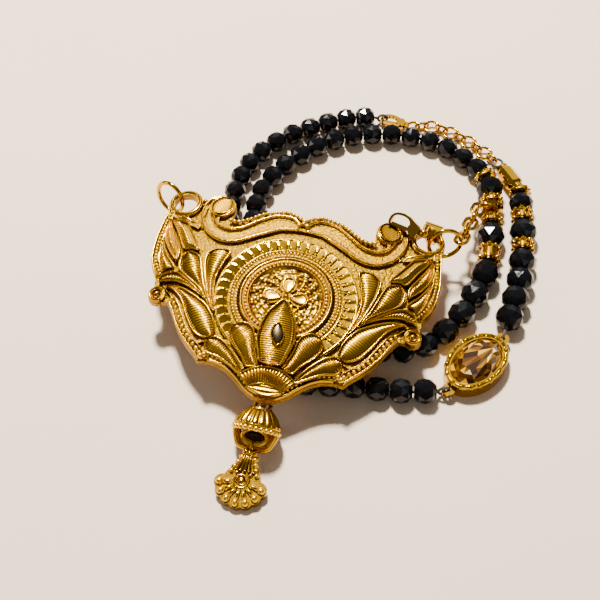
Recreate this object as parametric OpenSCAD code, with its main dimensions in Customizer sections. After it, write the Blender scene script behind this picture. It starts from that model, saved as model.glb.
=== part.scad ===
// Mangalsutra: a domed gold pendant plate, lying on a string of black faceted beads wound twice.
// Millimetres. X runs right, Y runs away and Z runs up from the surface that the necklace lies on.

/* [Pendant plate] */
// Width across the wings
plate_w = 57; // [50:0.5:64]
// Height from the top humps to the bottom tip
plate_h = 41; // [36:0.5:46]
// Thickness of the sheet behind the relief
plate_t = 1.2; // [1:0.1:1.6]
// Rise of the dome over half the plate's width
plate_dome = 2.4; // [1.6:0.1:3.2]
// Height of the sheet's front at the flower, above the surface
plate_lift = 9.8; // [9.6:0.1:11]
// Height of the leaves and channels above the sheet
relief_low = 0.35; // [0.2:0.05:0.5]
// Height of the rims and ridges above the sheet
relief_mid = 0.75; // [0.55:0.05:0.9]
// Height of the flower and the lotus rim above the sheet
relief_high = 1.15; // [0.95:0.05:1.4]
// Width of a raised rim or ridge
ridge_w = 0.55; // [0.4:0.05:0.7]
// Diameter of the round medallion with its ring of rays
medal_d = 27.6; // [24:0.2:30]
// Number of rays round the medallion
ray_count = 40; // [24:1:48]
// Outer diameter of an eye at the wing's corner
eye_d = 7; // [6.6:0.1:7.4]
// Diameter of the hole through an eye
eye_hole = 4.7; // [4.6:0.05:4.9]

/* [Rings, chain and clasps] */
// Outer diameter of the jump ring in each eye
jump_d = 7.4; // [7:0.1:8]
// Wire of the jump rings
jump_wire = 0.9; // [0.7:0.05:1]
// Length of an oval chain link
link_l = 4.7; // [4.6:0.05:4.8]
// Width of an oval chain link
link_w = 3.2; // [3.1:0.05:3.4]
// Wire of the chain links
link_wire = 0.8; // [0.6:0.05:0.8]
// Outer diameter of the ring that ties the chain to the string
tie_d = 5; // [4.9:0.05:5.1]
// Wire of the tie ring
tie_wire = 0.65; // [0.6:0.05:0.7]
// Outer diameter of a large extender ring
ext_ring_d = 3.9; // [3.9:0.05:4.1]
// Length of a small upright extender link
ext_link_l = 3.4; // [3.4:0.05:3.6]
// Wire of the extender rings and links
ext_wire = 0.6; // [0.5:0.05:0.6]
// Length of the pendant clasp's claw from its pivot to its nose
claw_l = 5.4; // [5:0.1:6]
// Length of the back clasp's claw from its pivot to its nose
back_claw_l = 4.6; // [4.4:0.1:5.2]
// Clearance between a lever's bore and its pin
pin_gap = 0.05; // [0.04:0.01:0.08]

/* [String] */
// Diameter of the small black beads
bead_d = 4.2; // [3.9:0.05:4.4]
// Diameter of the largest black beads
bead_big_d = 5.3; // [4.9:0.05:5.6]
// Space left between neighbouring beads
bead_gap = 0.14; // [0.1:0.01:0.3]
// Diameter of the thread
thread_d = 0.6; // [0.4:0.05:0.7]
// Diameter of the bore through a bead
bore_d = 1.1; // [0.95:0.05:1.3]
// Diameter of a gold crown between beads
crown_d = 4.9; // [4.4:0.1:5.2]
// Grains round each edge of a crown
crown_grains = 9; // [7:1:12]
// Width of the long gold bar bead across its flats
bar_d = 3.5; // [3.1:0.1:3.8]

/* [Oval stone] */
// Length of the stone
stone_l = 12.6; // [11.8:0.1:13]
// Width of the stone
stone_w = 8.2; // [7.6:0.1:8.8]
// Height of the stone
stone_h = 4.2; // [3.8:0.1:4.6]
// Wall of the gold frame round the stone
frame_t = 0.9; // [0.8:0.05:1.1]
// Space between the stone and its frame
stone_gap = 0.12; // [0.1:0.01:0.2]

/* [Drop] */
// Diameter of the fluted cap's rim
cap_d = 8.2; // [7.8:0.1:8.3]
// Length of the fluted cap
cap_l = 3.6; // [3.3:0.1:3.9]
// Width of the flower drop
drop_w = 9.9; // [9:0.1:10.6]

/* [Hidden] */
$fn = 48;

// Where the middle of the whole piece stands in the layout's own coordinates
middle = [9.79, 2.44];
// The plate's flower in the layout, and how the plate lies: turned, its top edge raised, its right side low
flower_at = [-2.66, -7.2];
plate_turn = -11.3;
plate_tilt = 6;
plate_roll = 0.8;

half_w = plate_w / 2;
dome_r = (half_w * half_w + plate_dome * plate_dome) / (2 * plate_dome);
wire_gap = 0.2;

// Points that the beads are strung along, as [x, y, lift over resting height], from the back clasp
long_route = [
    [16.6, 49.0, 0], [11.3, 48.9, 0], [3.2, 46.2, 0], [-4.5, 42.1, 0], [-10.7, 35.7, 0],
    [-13.8, 27.5, 0], [-14.8, 20.0, 0], [-15.3, 13.5, 0.3], [-14.7, 7.6, 2.8], [-12.2, 3.0, 5.15],
    [-8.4, -0.7, 3.1], [-3.0, -4.2, 0.4], [4.0, -7.8, 0], [10.2, -11.3, 0], [16.0, -13.8, 0],
    [21.9, -13.4, 0], [28.6, -9.0, 0], [34.6, -0.6, 0], [38.1, 7.5, 0], [38.8, 11.6, 0],
    [39.6, 17.3, 0], [39.9, 19.3, 0], [40.1, 21.2, 0], [40.3, 22.9, 0], [40.4, 24.9, 0],
    [40.0, 29.8, 0], [39.4, 31.6, 0], [36.2, 36.0, 0], [31.1, 40.5, 0], [24.1, 43.1, 0],
    [16.4, 43.9, 0], [8.3, 42.5, 0], [2.2, 39.1, 0], [-3.8, 33.9, 0], [-8.2, 27.2, 0],
    [-9.6, 20.0, 0], [-9.9, 14.6, 0], [-10.7, 9.0, 0], [-12.3, 3.0, 0], [-13.6, -3.0, 0],
    [-13.4, -9.0, 0], [-11.0, -14.6, 0], [-6.5, -18.6, 0], [0.0, -20.8, 0], [7.7, -21.3, 0],
    [15.3, -22.2, 0], [21.0, -22.8, 0], [25.6, -22.4, 0]];
short_route = [
    [40.0, -8.3, 0], [42.3, -2.3, 0], [43.9, 2.5, 0], [45.3, 10.3, 0], [45.8, 13.0, 0],
    [46.2, 18.1, 0], [46.3, 21.2, 0], [46.6, 25.4, 0], [46.5, 27.0, 0], [43.5, 34.2, 0]];

// Runs along a route: kind, first and last route point, first and last diameter
long_runs = [
    ["bead", 0, 15, bead_d, bead_d], ["bead", 15, 18, bead_d + 0.2, bead_big_d],
    ["crown", 18, 19, crown_d, crown_d], ["bead", 19, 20, bead_big_d, bead_big_d],
    ["crown", 20, 21, crown_d, crown_d], ["space", 21, 22, bead_d, bead_d],
    ["rondelle", 22, 23, crown_d, crown_d], ["crown", 23, 24, crown_d, crown_d],
    ["bead", 24, 25, bead_big_d, bead_big_d], ["crown", 25, 26, crown_d, crown_d],
    ["bead", 26, 47, bead_d, bead_d + 0.2]];
short_runs = [
    ["bead", 0, 3, bead_big_d - 0.1, bead_big_d - 0.1], ["crown", 3, 4, crown_d, crown_d],
    ["bead", 4, 5, bead_big_d, bead_big_d], ["crown", 5, 6, crown_d, crown_d],
    ["bead", 6, 7, bead_big_d - 0.4, bead_big_d - 0.4], ["crown", 7, 8, crown_d, crown_d],
    ["bar", 8, 9, bar_d, bar_d]];

// Curves through chosen points
function spline_at(a, b, c, d, t) =
    ((2 * b) + (c - a) * t + (2 * a - 5 * b + 4 * c - d) * t * t + (3 * b - a - 3 * c + d) * t * t * t) / 2;
function near(p, i) = p[max(0, min(len(p) - 1, i))];
// Smooth curve through every point of p, in n steps between neighbours
function smooth(p, n) = concat(
    [for (i = [0 : len(p) - 2], k = [0 : n - 1])
        spline_at(near(p, i - 1), p[i], p[i + 1], near(p, i + 2), k / n)],
    [p[len(p) - 1]]);
// Length run up to each point of p
function lengths(p) = [for (i = 0, s = 0; i < len(p); s = s + (i + 1 < len(p) ? norm(p[i + 1] - p[i]) : 0), i = i + 1) s];
function arc(c, r, from, to, n) = [for (i = [0 : n]) c + r * [cos(from + (to - from) * i / n), sin(from + (to - from) * i / n)]];
function table(s, p, k) = [for (i = [0 : len(p) - 1]) [s[i], p[i][k]]];
function direction(v) = v / norm(v);
// Turns that carry the Z axis onto v
function aim(v) = [0, acos(v.z / norm(v)), atan2(v.y, v.x)];

// The string: joints between its pieces, worked out from the runs
steps_per_point = 6;
// Height of a resting piece's middle above the surface
function rest_height(kind, d) = kind == "bead" ? 0.475 * d : d / 2;
function pieces_in(run, span) =
    run[0] == "bead" ? max(1, round(span / ((run[3] + run[4]) / 2 + bead_gap))) : 1;
// One row for each piece: kind, start and end along the route, diameter, number of its run
function pieces(runs, s) = [
    for (r = [0 : len(runs) - 1])
        let (run = runs[r], s0 = s[run[1] * steps_per_point], s1 = s[run[2] * steps_per_point],
             n = pieces_in(run, s1 - s0), mean = (run[3] + run[4]) / 2)
        for (i = [0 : n - 1])
            let (share = function(k) (run[3] * k + (run[4] - run[3]) * k * k / (2 * n)) / (mean * n),
                 a = s0 + (s1 - s0) * share(i), b = s0 + (s1 - s0) * share(i + 1))
            [run[0], a, b, run[3] + (run[4] - run[3]) * (i + 0.5) / n, r]];
// Joint j lies at the start of piece j, as high as the larger of its two neighbours rests
function joints(rows, p, s) = [
    for (j = [0 : len(rows)])
        let (at = j < len(rows) ? rows[j][1] : rows[j - 1][2],
             before = near(rows, j - 1), after = near(rows, j))
        [lookup(at, table(s, p, 0)), lookup(at, table(s, p, 1)),
         lookup(at, table(s, p, 2)) + max(rest_height(before[0], before[3]), rest_height(after[0], after[3]))]];
function bend(j, i) = i < 1 || i > len(j) - 2 ? 0 :
    acos(min(1, direction(j[i] - j[i - 1]) * direction(j[i + 1] - j[i])));

long_curve = smooth(long_route, steps_per_point);
long_s = lengths([for (p = long_curve) [p.x, p.y, p.z]]);
long_rows = pieces(long_runs, long_s);
long_joints = joints(long_rows, long_curve, long_s);
short_curve = smooth(short_route, steps_per_point);
short_s = lengths([for (p = short_curve) [p.x, p.y, p.z]]);
short_rows = pieces(short_runs, short_s);
short_joints = joints(short_rows, short_curve, short_s);

// The bead string's space where the chain is tied on
space_row = [for (i = [0 : len(long_rows) - 1]) if (long_rows[i][0] == "space") i][0];
tie_at = (long_joints[space_row] + long_joints[space_row + 1]) / 2;

module laid_out() { translate([-middle.x, -middle.y, 0.025]) children(); }

module on_plate() {
    translate([flower_at.x, flower_at.y, plate_lift])
        rotate([0, 0, plate_turn]) rotate([plate_tilt, 0, 0]) rotate([0, plate_roll, 0]) children();
}

// A point given in the plate's own coordinates, in the layout's
function turn_z(a, p) = [p.x * cos(a) - p.y * sin(a), p.x * sin(a) + p.y * cos(a), p.z];
function turn_x(a, p) = [p.x, p.y * cos(a) - p.z * sin(a), p.y * sin(a) + p.z * cos(a)];
function turn_y(a, p) = [p.x * cos(a) + p.z * sin(a), p.y, -p.x * sin(a) + p.z * cos(a)];
function from_plate(p) = [flower_at.x, flower_at.y, plate_lift]
    + turn_z(plate_turn, turn_x(plate_tilt, turn_y(plate_roll, p)));
function sag(x, y) = dome_r - sqrt(dome_r * dome_r - x * x - y * y);

// Pendant plate. Its tables hold shares of half the width and of the height, from the flower
function on_wing(p) = [for (q = p) [q[0] * half_w, q[1] * plate_h]];
eye_at = [0.862 * half_w, 0.477 * plate_h];
volute_at = [0.593 * half_w, 0.476 * plate_h];
volute_r = 2.7;
hook_at = [0.868 * half_w, -0.066 * plate_h];
hook_r = 1.75;
top_edge = on_wing([[0, 0.454], [0.06, 0.476], [0.137, 0.489], [0.28, 0.462], [0.38, 0.416], [0.46, 0.394], [0.505, 0.40]]);
wing_edge = on_wing([[0.97, 0.45], [0.991, 0.33], [1.0, 0.23], [0.987, 0.13], [0.952, 0.07], [0.915, 0.03]]);
low_edge = on_wing([[0.785, -0.098], [0.743, -0.14], [0.69, -0.206], [0.638, -0.258], [0.575, -0.306], [0.512, -0.347], [0.486, -0.371]]);
lobe_edge = on_wing([[0.42, -0.367], [0.35, -0.375], [0.28, -0.396], [0.21, -0.432], [0.14, -0.474], [0.07, -0.501], [0, -0.51]]);

half_outline = concat(
    smooth(top_edge, 2),
    arc(volute_at, volute_r, 185, 20, 8),
    arc(eye_at, eye_d / 2, 150, -10, 9),
    smooth(wing_edge, 2),
    arc(hook_at, hook_r, 55, -130, 6),
    smooth(low_edge, 2),
    smooth(lobe_edge, 2));
outline = concat(half_outline, [for (i = [len(half_outline) - 2 : -1 : 1]) [-half_outline[i].x, half_outline[i].y]]);

// A layer of the domed sheet between two heights over its front
module layer(low, high) {
    intersection() {
        translate([0, 0, -9]) linear_extrude(12) children();
        translate([0, 0, -dome_r]) difference() {
            sphere(dome_r + high, $fn = 200);
            sphere(dome_r + low, $fn = 200);
        }
    }
}

module both() { children(); mirror([1, 0]) children(); }

// A ridge of even width along a curve
module ridge(p, w) {
    n = len(p);
    side = [for (i = [0 : n - 1])
        let (t = direction(near(p, i + 1) - near(p, i - 1))) [-t.y, t.x] * w / 2];
    polygon(concat([for (i = [0 : n - 1]) p[i] + side[i]], [for (i = [n - 1 : -1 : 0]) p[i] - side[i]]));
}

// A closed leaf through its points: first the whole shape, then its raised rim
function leaf(p) = smooth(concat(on_wing(p), [on_wing(p)[0]]), 2);
function centre_of(p) = [for (i = [0 : 1]) [for (q = p) q[i]] * [for (q = p) 1] / len(p)];
module leaf_rim(p) {
    c = centre_of(p);
    inset = ridge_w;
    difference() {
        polygon(p);
        polygon([for (q = p) c + (q - c) * max(0.5, 1 - inset / norm(q - c))]);
    }
}

// The leaves of one side, as shares of half the width and of the height
leaves = [
    // Tall petal beside the medallion
    [[0.545, 0.213], [0.515, 0.17], [0.505, 0.08], [0.50, -0.02], [0.49, -0.11], [0.53, -0.05], [0.575, 0.06], [0.60, 0.15], [0.585, 0.20]],
    // Round petal behind it
    [[0.70, 0.18], [0.655, 0.155], [0.62, 0.06], [0.575, -0.06], [0.64, -0.02], [0.74, 0.05], [0.785, 0.12], [0.755, 0.17]],
    // Thin leaf over the large leaf
    [[0.88, 0.04], [0.83, 0.085], [0.76, 0.06], [0.66, 0.0], [0.55, -0.09], [0.66, -0.045], [0.75, -0.005], [0.84, 0.012]],
    // Large lower leaf
    [[0.84, -0.02], [0.74, -0.035], [0.62, -0.08], [0.50, -0.16], [0.44, -0.20], [0.43, -0.255], [0.50, -0.29], [0.575, -0.26], [0.645, -0.18], [0.71, -0.10], [0.79, -0.055]],
    // Side petals of the lotus, inner and outer
    [[0.22, -0.158], [0.155, -0.18], [0.125, -0.26], [0.145, -0.375], [0.21, -0.33], [0.285, -0.24], [0.275, -0.185]],
    [[0.37, -0.26], [0.30, -0.26], [0.22, -0.33], [0.165, -0.38], [0.25, -0.385], [0.35, -0.36], [0.455, -0.355], [0.43, -0.29]],
    // Feathers under the eye
    [[0.965, 0.37], [0.90, 0.30], [0.82, 0.215], [0.80, 0.17], [0.87, 0.20], [0.95, 0.28]],
    [[0.86, 0.365], [0.80, 0.32], [0.70, 0.22], [0.68, 0.19], [0.76, 0.20], [0.84, 0.29]],
    [[0.975, 0.26], [0.93, 0.20], [0.86, 0.12], [0.90, 0.10], [0.96, 0.15]]];
lotus = [[0, -0.005], [0.05, -0.05], [0.10, -0.12], [0.122, -0.19], [0.10, -0.28], [0.05, -0.36],
    [-0.05, -0.36], [-0.10, -0.28], [-0.122, -0.19], [-0.10, -0.12], [-0.05, -0.05]];
// The scroll band's two lines, from the notch to the volute
band_top = smooth(on_wing([[0.01, 0.415], [0.07, 0.455], [0.14, 0.464], [0.21, 0.456], [0.28, 0.43], [0.35, 0.395], [0.42, 0.36], [0.49, 0.345], [0.56, 0.352], [0.60, 0.378], [0.60, 0.41]]), 2);
band_low = smooth(on_wing([[0, 0.395], [0.14, 0.385], [0.21, 0.36], [0.28, 0.335], [0.35, 0.306], [0.42, 0.28], [0.49, 0.27], [0.56, 0.277], [0.63, 0.305], [0.68, 0.345], [0.71, 0.40], [0.70, 0.47]]), 2);
brow = on_wing([[0.975, 0.40], [0.84, 0.368], [0.71, 0.335]]);
fan_at = [0, -0.405 * plate_h];
fan_r = 4.3;
grain_d = 0.62;

module disc_ring(outer, wide) { difference() { circle(outer); circle(outer - wide); } }

module rays() {
    ray_in = medal_d / 2 - 3.1;
    for (i = [0 : ray_count - 1])
        rotate(i * 360 / ray_count) translate([ray_in - 0.1, -ridge_w / 4]) square([3, ridge_w / 2]);
}

// Everything that stands up to the lower height: leaf bodies, channel floor and medallion
module low_relief() {
    both() {
        for (p = leaves) polygon(leaf(p));
        translate(volute_at) circle(volute_r - 0.15);
        translate(eye_at) circle(eye_d / 2 - 0.15);
        translate(hook_at) circle(hook_r - 0.16);
    }
    circle(medal_d / 2 - 3);
    polygon(leaf(lotus));
    translate(fan_at) circle(fan_r, $fn = 32);
}

// Rims, ridges and rings
module mid_relief() {
    both() {
        for (p = leaves) leaf_rim(leaf(p));
        ridge(band_top, ridge_w);
        ridge(band_low, ridge_w);
        ridge(brow, 0.9);
        translate(volute_at) disc_ring(volute_r - 0.1, 0.5);
        translate(eye_at) disc_ring(eye_d / 2 - 0.1, (eye_d - eye_hole) / 2);
        translate(hook_at) disc_ring(hook_r - 0.11, 0.6);
        for (k = [1 : 11]) let (c = smooth(top_edge, 2)[k]) translate(c) circle(grain_d / 2, $fn = 16);
    }
    disc_ring(medal_d / 2, 0.5);
    disc_ring(medal_d / 2 - 2.7, 0.5);
    disc_ring(medal_d / 2 - 3.9, 0.5);
    rays();
    translate(fan_at) for (a = [0 : 22.5 : 180]) rotate(-a) translate([1.6, -0.2]) square([fan_r - 1.9, 0.4]);
    translate(fan_at) disc_ring(fan_r, 0.5, $fn = 32);
}

// The flower's three loops, the medallion's smooth ring and the lotus rim
module high_relief() {
    disc_ring(8.4, 1.1);
    for (a = [0, 90, 180]) rotate(a) translate([2.6, 0]) difference() {
        circle(1.6, $fn = 24);
        circle(1.6 - ridge_w, $fn = 24);
    }
    circle(1.2, $fn = 24);
    leaf_rim(leaf(lotus));
}

lug_at = [0, -0.475 * plate_h];
lug_r = 1.25;
lug_wire = 0.45;
lug_drop = 2.1;

module pendant_plate() {
    color("goldenrod") laid_out() on_plate() difference() {
        union() {
            layer(-plate_t, 0) polygon(outline);
            layer(-0.3, relief_low) low_relief();
            layer(-0.35, relief_mid) mid_relief();
            layer(-0.4, relief_high) high_relief();
            translate([lug_at.x, lug_at.y, -sag(lug_at.x, lug_at.y) - lug_drop])
                rotate([0, 90, 0]) rotate_extrude($fn = 32) translate([lug_r, 0]) circle(lug_wire, $fn = 16);
        }
        for (s = [-1, 1])
            translate([s * eye_at.x, eye_at.y, -8]) cylinder(h = 12, d = eye_hole);
    }
}

// A piece carried so that its X, Y and Z lie along three square directions at p
module carried(p, x, y) {
    z = cross(x, y);
    multmatrix([[x.x, y.x, z.x, p.x], [x.y, y.y, z.y, p.y], [x.z, y.z, z.z, p.z], [0, 0, 0, 1]]) children();
}
function level(a) = [cos(a), sin(a), 0];
// Lying direction square to azimuth a, with its far side raised
function raised(a, tilt) = level(a + 90) * cos(tilt) + [0, 0, sin(tilt)];

module ring(outer, wire) {
    rotate_extrude() translate([(outer - wire) / 2, 0]) circle(wire / 2, $fn = 24);
}

// An oval link, long along X
module link(l, w, wire) {
    r = (w - wire) / 2;
    half = (l - w) / 2;
    for (s = [-1, 1]) {
        translate([s * half, 0, 0]) rotate([0, 0, -s * 90])
            rotate_extrude(angle = 180) translate([r, 0]) circle(wire / 2, $fn = 24);
        translate([-half, s * r, 0]) rotate([0, 90, 0]) cylinder(h = 2 * half, d = wire, $fn = 24);
    }
}

module rod(a, b, d) { translate(a) rotate(aim(b - a)) cylinder(h = norm(b - a), d = d, $fn = 24); }

// Jump rings: each goes down through its eye and stands out from the wing's corner
function eye_mid(s) = from_plate([s * eye_at.x, eye_at.y, (relief_mid - plate_t) / 2 - sag(eye_at.x, eye_at.y)]);
jump_r = (jump_d - jump_wire) / 2;
right_turn = 8;
right_mid = eye_mid(1) + (jump_r + 0.25) * level(right_turn) + [0, 0, -0.3];
right_up = raised(right_turn, 78);
left_turn = 142;
left_mid = eye_mid(-1) + (jump_r + 1.15) * level(left_turn) + [0, 0, -0.5];
left_up = -raised(left_turn, -78);

module left_jump_ring() {
    color("gold") laid_out() carried(left_mid, level(left_turn), left_up) ring(jump_d, jump_wire);
}
module right_jump_ring() {
    color("gold") laid_out() carried(right_mid, level(right_turn), right_up) ring(jump_d, jump_wire);
}

// Rows of links. Each row hangs between two wires; an end is where a link's own end wire stands on the way
function total(v) = v * [for (q = v) 1];
function spans(c, first, between, last, d) =
    let (n = len(c), gap = (total(c) - first - last - (n - 1) * between - d) / (n + 1))
    [for (i = 0, s = -first - gap; i < n; s = s + c[i] - between - gap, i = i + 1) [s, s + c[i]]];
// Place at distance d along the points p, straight on beyond either end
function place(p, s, d) = let (n = len(p) - 1)
    d < 0 ? p[0] + d * direction(p[1] - p[0]) :
    d > s[n] ? p[n] + (d - s[n]) * direction(p[n] - p[n - 1]) :
    [lookup(d, table(s, p, 0)), lookup(d, table(s, p, 1)), lookup(d, table(s, p, 2))];
// A link between two end wires, its flat side turned by twist from lying
module link_between(a, b, l, w, wire, twist) {
    e = direction(b - a);
    side = direction(cross([0, 0, 1], e));
    up = cross(e, side);
    carried((a + b) / 2, e, side * cos(twist) + up * sin(twist)) link(l, w, wire);
}

// Tie ring: it stands square to the string, over the thread
tie_turn = direction([-2.3, 0.2, 1.75]);
tie_r = (tie_d - tie_wire) / 2;
tie_mid = tie_at + (tie_r - (thread_d + tie_wire) / 2 - 0.15) * tie_turn;
module tie_ring() { color("gold") laid_out() carried(tie_mid, tie_turn, direction(cross([0, 1, 0], tie_turn))) ring(tie_d, tie_wire); }

// Chain from the right jump ring to the tie ring
chain_links = 5;
chain_hang = 6;
// How far link i is turned from lying flat
function chain_twist(i) = -8 - 86 * (i - 1);
chain_way = [right_mid + jump_r * (cos(chain_hang) * level(right_turn) + sin(chain_hang) * right_up),
    tie_mid + tie_r * tie_turn];
chain_s = lengths(chain_way);
chain_spans = spans([for (i = [1 : chain_links]) link_l - link_wire], (jump_wire + link_wire) / 2,
    link_wire, (tie_wire + link_wire) / 2, chain_s[1]);

module chain_link(i) {
    color("gold") laid_out() link_between(place(chain_way, chain_s, chain_spans[i - 1][0]),
        place(chain_way, chain_s, chain_spans[i - 1][1]), link_l, link_w, link_wire, chain_twist(i));
}

// Lobster clasps. A clasp lies in its own X and Y from the pivot, its nose along X and its arc on the side of Y
claw_model = 5.4;
hook = [[-1.2, 0.6], [-0.6, 1.15], [0.3, 1.5], [1.4, 2.05], [2.8, 2.3], [4.1, 2.1], [4.9, 1.6], [5.3, 0.9],
    [5.4, 0.2], [5.3, -0.5], [5.05, -0.85], [4.86, -0.6], [4.84, 0.2], [4.66, 1.02], [4.3, 1.42], [3.6, 1.65],
    [2.6, 1.72], [1.7, 1.52], [1.25, 1.1], [1.0, 0.5], [0, 0.2], [-1.2, -0.6]];
lever_bar = [[-0.6, 0.4], [0.9, 0], [4.6, 0], [4.66, -0.35], [4.5, -0.62], [3.4, -0.72], [0.6, -0.75],
    [0.35, -1.35], [-0.1, -1.7], [-0.8, -1.4], [-0.75, 0.1]];

module claw_frame(k) {
    cheek = 1.2 * k;
    difference() {
        union() {
            translate([0, 0, -0.55 * k]) linear_extrude(1.1 * k) polygon(hook * k);
            translate([0, 0, -0.95 * k]) cylinder(h = 1.9 * k, r = cheek);
            translate([-1.9 * k, -0.6 * k, -0.6 * k]) cube([1.3 * k, 1.2 * k, 1.2 * k]);
        }
        translate([0, 0, -0.4 * k - 0.07]) linear_extrude(0.8 * k + 0.14) {
            circle(1.06 * k);
            translate([-1.02 * k, -2 * k]) square([3 * k, 2.05 * k]);
            polygon([[0, 0], [2 * k, 0], [2 * k, 0.6 * k]]);
        }
    }
    translate([0, 0, -0.95 * k]) cylinder(h = 1.9 * k, r = 0.42 * k);
}

module claw_lever(k) {
    difference() {
        union() {
            translate([0, 0, -0.4 * k]) cylinder(h = 0.8 * k, r = 0.94 * k);
            translate([0, 0, -0.37 * k]) linear_extrude(0.74 * k) polygon(lever_bar * k);
        }
        translate([0, 0, -k]) cylinder(h = 2 * k, r = 0.42 * k + pin_gap);
    }
}

pendant_k = claw_l / claw_model;
pivot = eye_mid(1) + [-2.9, 1.2, 3.15];
claw_turn = 151;
claw_side = -raised(claw_turn, -42);
// The clasp's band round the eye's rim
band_turn = 65;
band_mid = eye_mid(1) + (eye_d + eye_hole) / 4 * level(band_turn);

module band() {
    difference() {
        intersection() {
            translate([-4, 0, 0]) rotate([0, 90, 0]) cylinder(h = 8, r = 2.1);
            translate([0, 0, -3]) linear_extrude(6)
                polygon([[-0.5, -2.4], [0.45, -2.4], [1.6, 0.8], [1.6, 2.4], [-2, 2.4], [-2, 0.8]]);
        }
        translate([-5, 0, 0]) rotate([0, 90, 0]) cylinder(h = 10, r = 1.55);
    }
}

module pendant_clasp_body() {
    neck = pivot - 2.1 * pendant_k * level(claw_turn);
    band_top = band_mid - 1.3 * level(band_turn - 90) - 0.6 * level(band_turn) + [0, 0, 2.05];
    color("gold") laid_out() {
        carried(pivot, level(claw_turn), claw_side) claw_frame(pendant_k);
        carried(band_mid, level(band_turn - 90), level(band_turn)) band();
        translate(neck) rotate(aim(band_top - neck)) sphere(0.9, $fn = 32);
        rod(neck, band_top, 1.5);
        translate(band_top) rotate(aim(band_top - neck)) sphere(0.82, $fn = 32);
    }
}
module pendant_clasp_lever() {
    color("darkgoldenrod") laid_out() carried(pivot, level(claw_turn), claw_side) claw_lever(pendant_k);
}

back_k = back_claw_l / claw_model;
back_pivot = [22.5, 47.6, 1.35];
back_turn = 165;
tail_at = back_pivot - 2.9 * level(back_turn);
module back_clasp_body() {
    color("gold") laid_out() {
        carried(back_pivot, level(back_turn), level(back_turn - 90)) claw_frame(back_k);
        translate(tail_at) ring(3.1, ext_wire);
    }
}
module back_clasp_lever() {
    color("darkgoldenrod") laid_out() carried(back_pivot, level(back_turn), level(back_turn - 90)) claw_lever(back_k);
}

// Thread with a loop at each end
loop_r = 1;
wide_loop_r = 1.1;
nose_at = back_pivot + back_k * (5.04 * level(back_turn) + 0.75 * level(back_turn - 90));
oval_at = [33.5, -16.3];
oval_turn = 45.3;
end_ring_d = 2.6;
end_ring_wire = 0.75;
end_ring_z = 1.5;
end_reach = (stone_l + 2 * stone_gap) / 2 + frame_t + 0.75;
function end_ring_at(s) = [oval_at.x, oval_at.y, end_ring_z] + s * end_reach * level(oval_turn);
function flat(v) = direction([v.x, v.y, 0]);
function last(p) = p[len(p) - 1];

start_way = flat(long_joints[0] - long_joints[1]);
finish_way = flat(end_ring_at(-1) - last(long_joints));
finish_at = end_ring_at(-1) - (end_ring_d - end_ring_wire) / 2 * finish_way;
short_start_way = flat(end_ring_at(1) - short_joints[0]);
short_start_at = end_ring_at(1) - (end_ring_d - end_ring_wire) / 2 * short_start_way;
short_end_way = flat(last(short_joints) - short_joints[len(short_joints) - 2]);
short_end_at = last(short_joints) + (wide_loop_r + 0.55) * short_end_way - [0, 0, 0.3];

module sweep(p, r) {
    n = len(p);
    sides = 6;
    points = [for (i = [0 : n - 1])
        let (t = direction(near(p, i + 1) - near(p, i - 1)), side = direction(cross([0, 0, 1], t)), up = cross(t, side))
        for (k = [0 : sides - 1]) p[i] + r * (cos(60 * k) * side + sin(60 * k) * up)];
    quads = [for (i = [0 : n - 2], k = [0 : sides - 1])
        [i * sides + k, i * sides + (k + 1) % sides, (i + 1) * sides + (k + 1) % sides, (i + 1) * sides + k]];
    halves = [for (q = quads) each [[q[2], q[1], q[0]], [q[3], q[2], q[0]]]];
    polyhedron(points, concat(halves, [[for (k = [0 : sides - 1]) k], [for (k = [sides - 1 : -1 : 0]) (n - 1) * sides + k]]));
}
module upright_loop(c, way) {
    carried(c, way, [0, 0, 1]) rotate_extrude($fn = 20) translate([loop_r, 0]) circle(thread_d / 2, $fn = 6);
}

module thread_long() {
    color("dimgray") laid_out() {
        upright_loop(nose_at, start_way);
        upright_loop(finish_at, finish_way);
        sweep(concat([nose_at - loop_r * start_way], long_joints, [finish_at - loop_r * finish_way]), thread_d / 2);
    }
}
module thread_short() {
    color("dimgray") laid_out() {
        upright_loop(short_start_at, short_start_way);
        translate(short_end_at) rotate_extrude($fn = 20) translate([wide_loop_r, 0]) circle(thread_d / 2, $fn = 6);
        sweep(concat([short_start_at - loop_r * short_start_way], short_joints,
            [short_end_at - wide_loop_r * short_end_way]), thread_d / 2);
    }
}

// Extender between the back clasp's tail ring and the short string
ext_bends = [[29.9, 47.0, 1.2], [33.8, 44.7, 1.2], [37.1, 42.3, 1.2], [40.7, 38.4, 1.2]];
ext_from = tail_at + (3.1 - ext_wire) / 2 * flat(ext_bends[0] - tail_at) + [0, 0, -0.1];
ext_to = short_end_at + wide_loop_r * flat(last(ext_bends) - short_end_at);
ext_way = smooth(concat([ext_from], ext_bends, [ext_to]), 5);
ext_s = lengths(ext_way);
ext_spans = spans([for (i = [1 : 9]) (i % 2 == 1 ? ext_link_l : ext_ring_d) - ext_wire], ext_wire, ext_wire,
    (ext_wire + thread_d) / 2, last(ext_s));

module extender_link(i) {
    a = place(ext_way, ext_s, ext_spans[i - 1][0]);
    b = place(ext_way, ext_s, ext_spans[i - 1][1]);
    color("gold") laid_out()
        if (i % 2 == 1) link_between(a, b, ext_link_l, 2.4, ext_wire, 90);
        else translate((a + b) / 2) ring(ext_ring_d, ext_wire);
}

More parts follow.
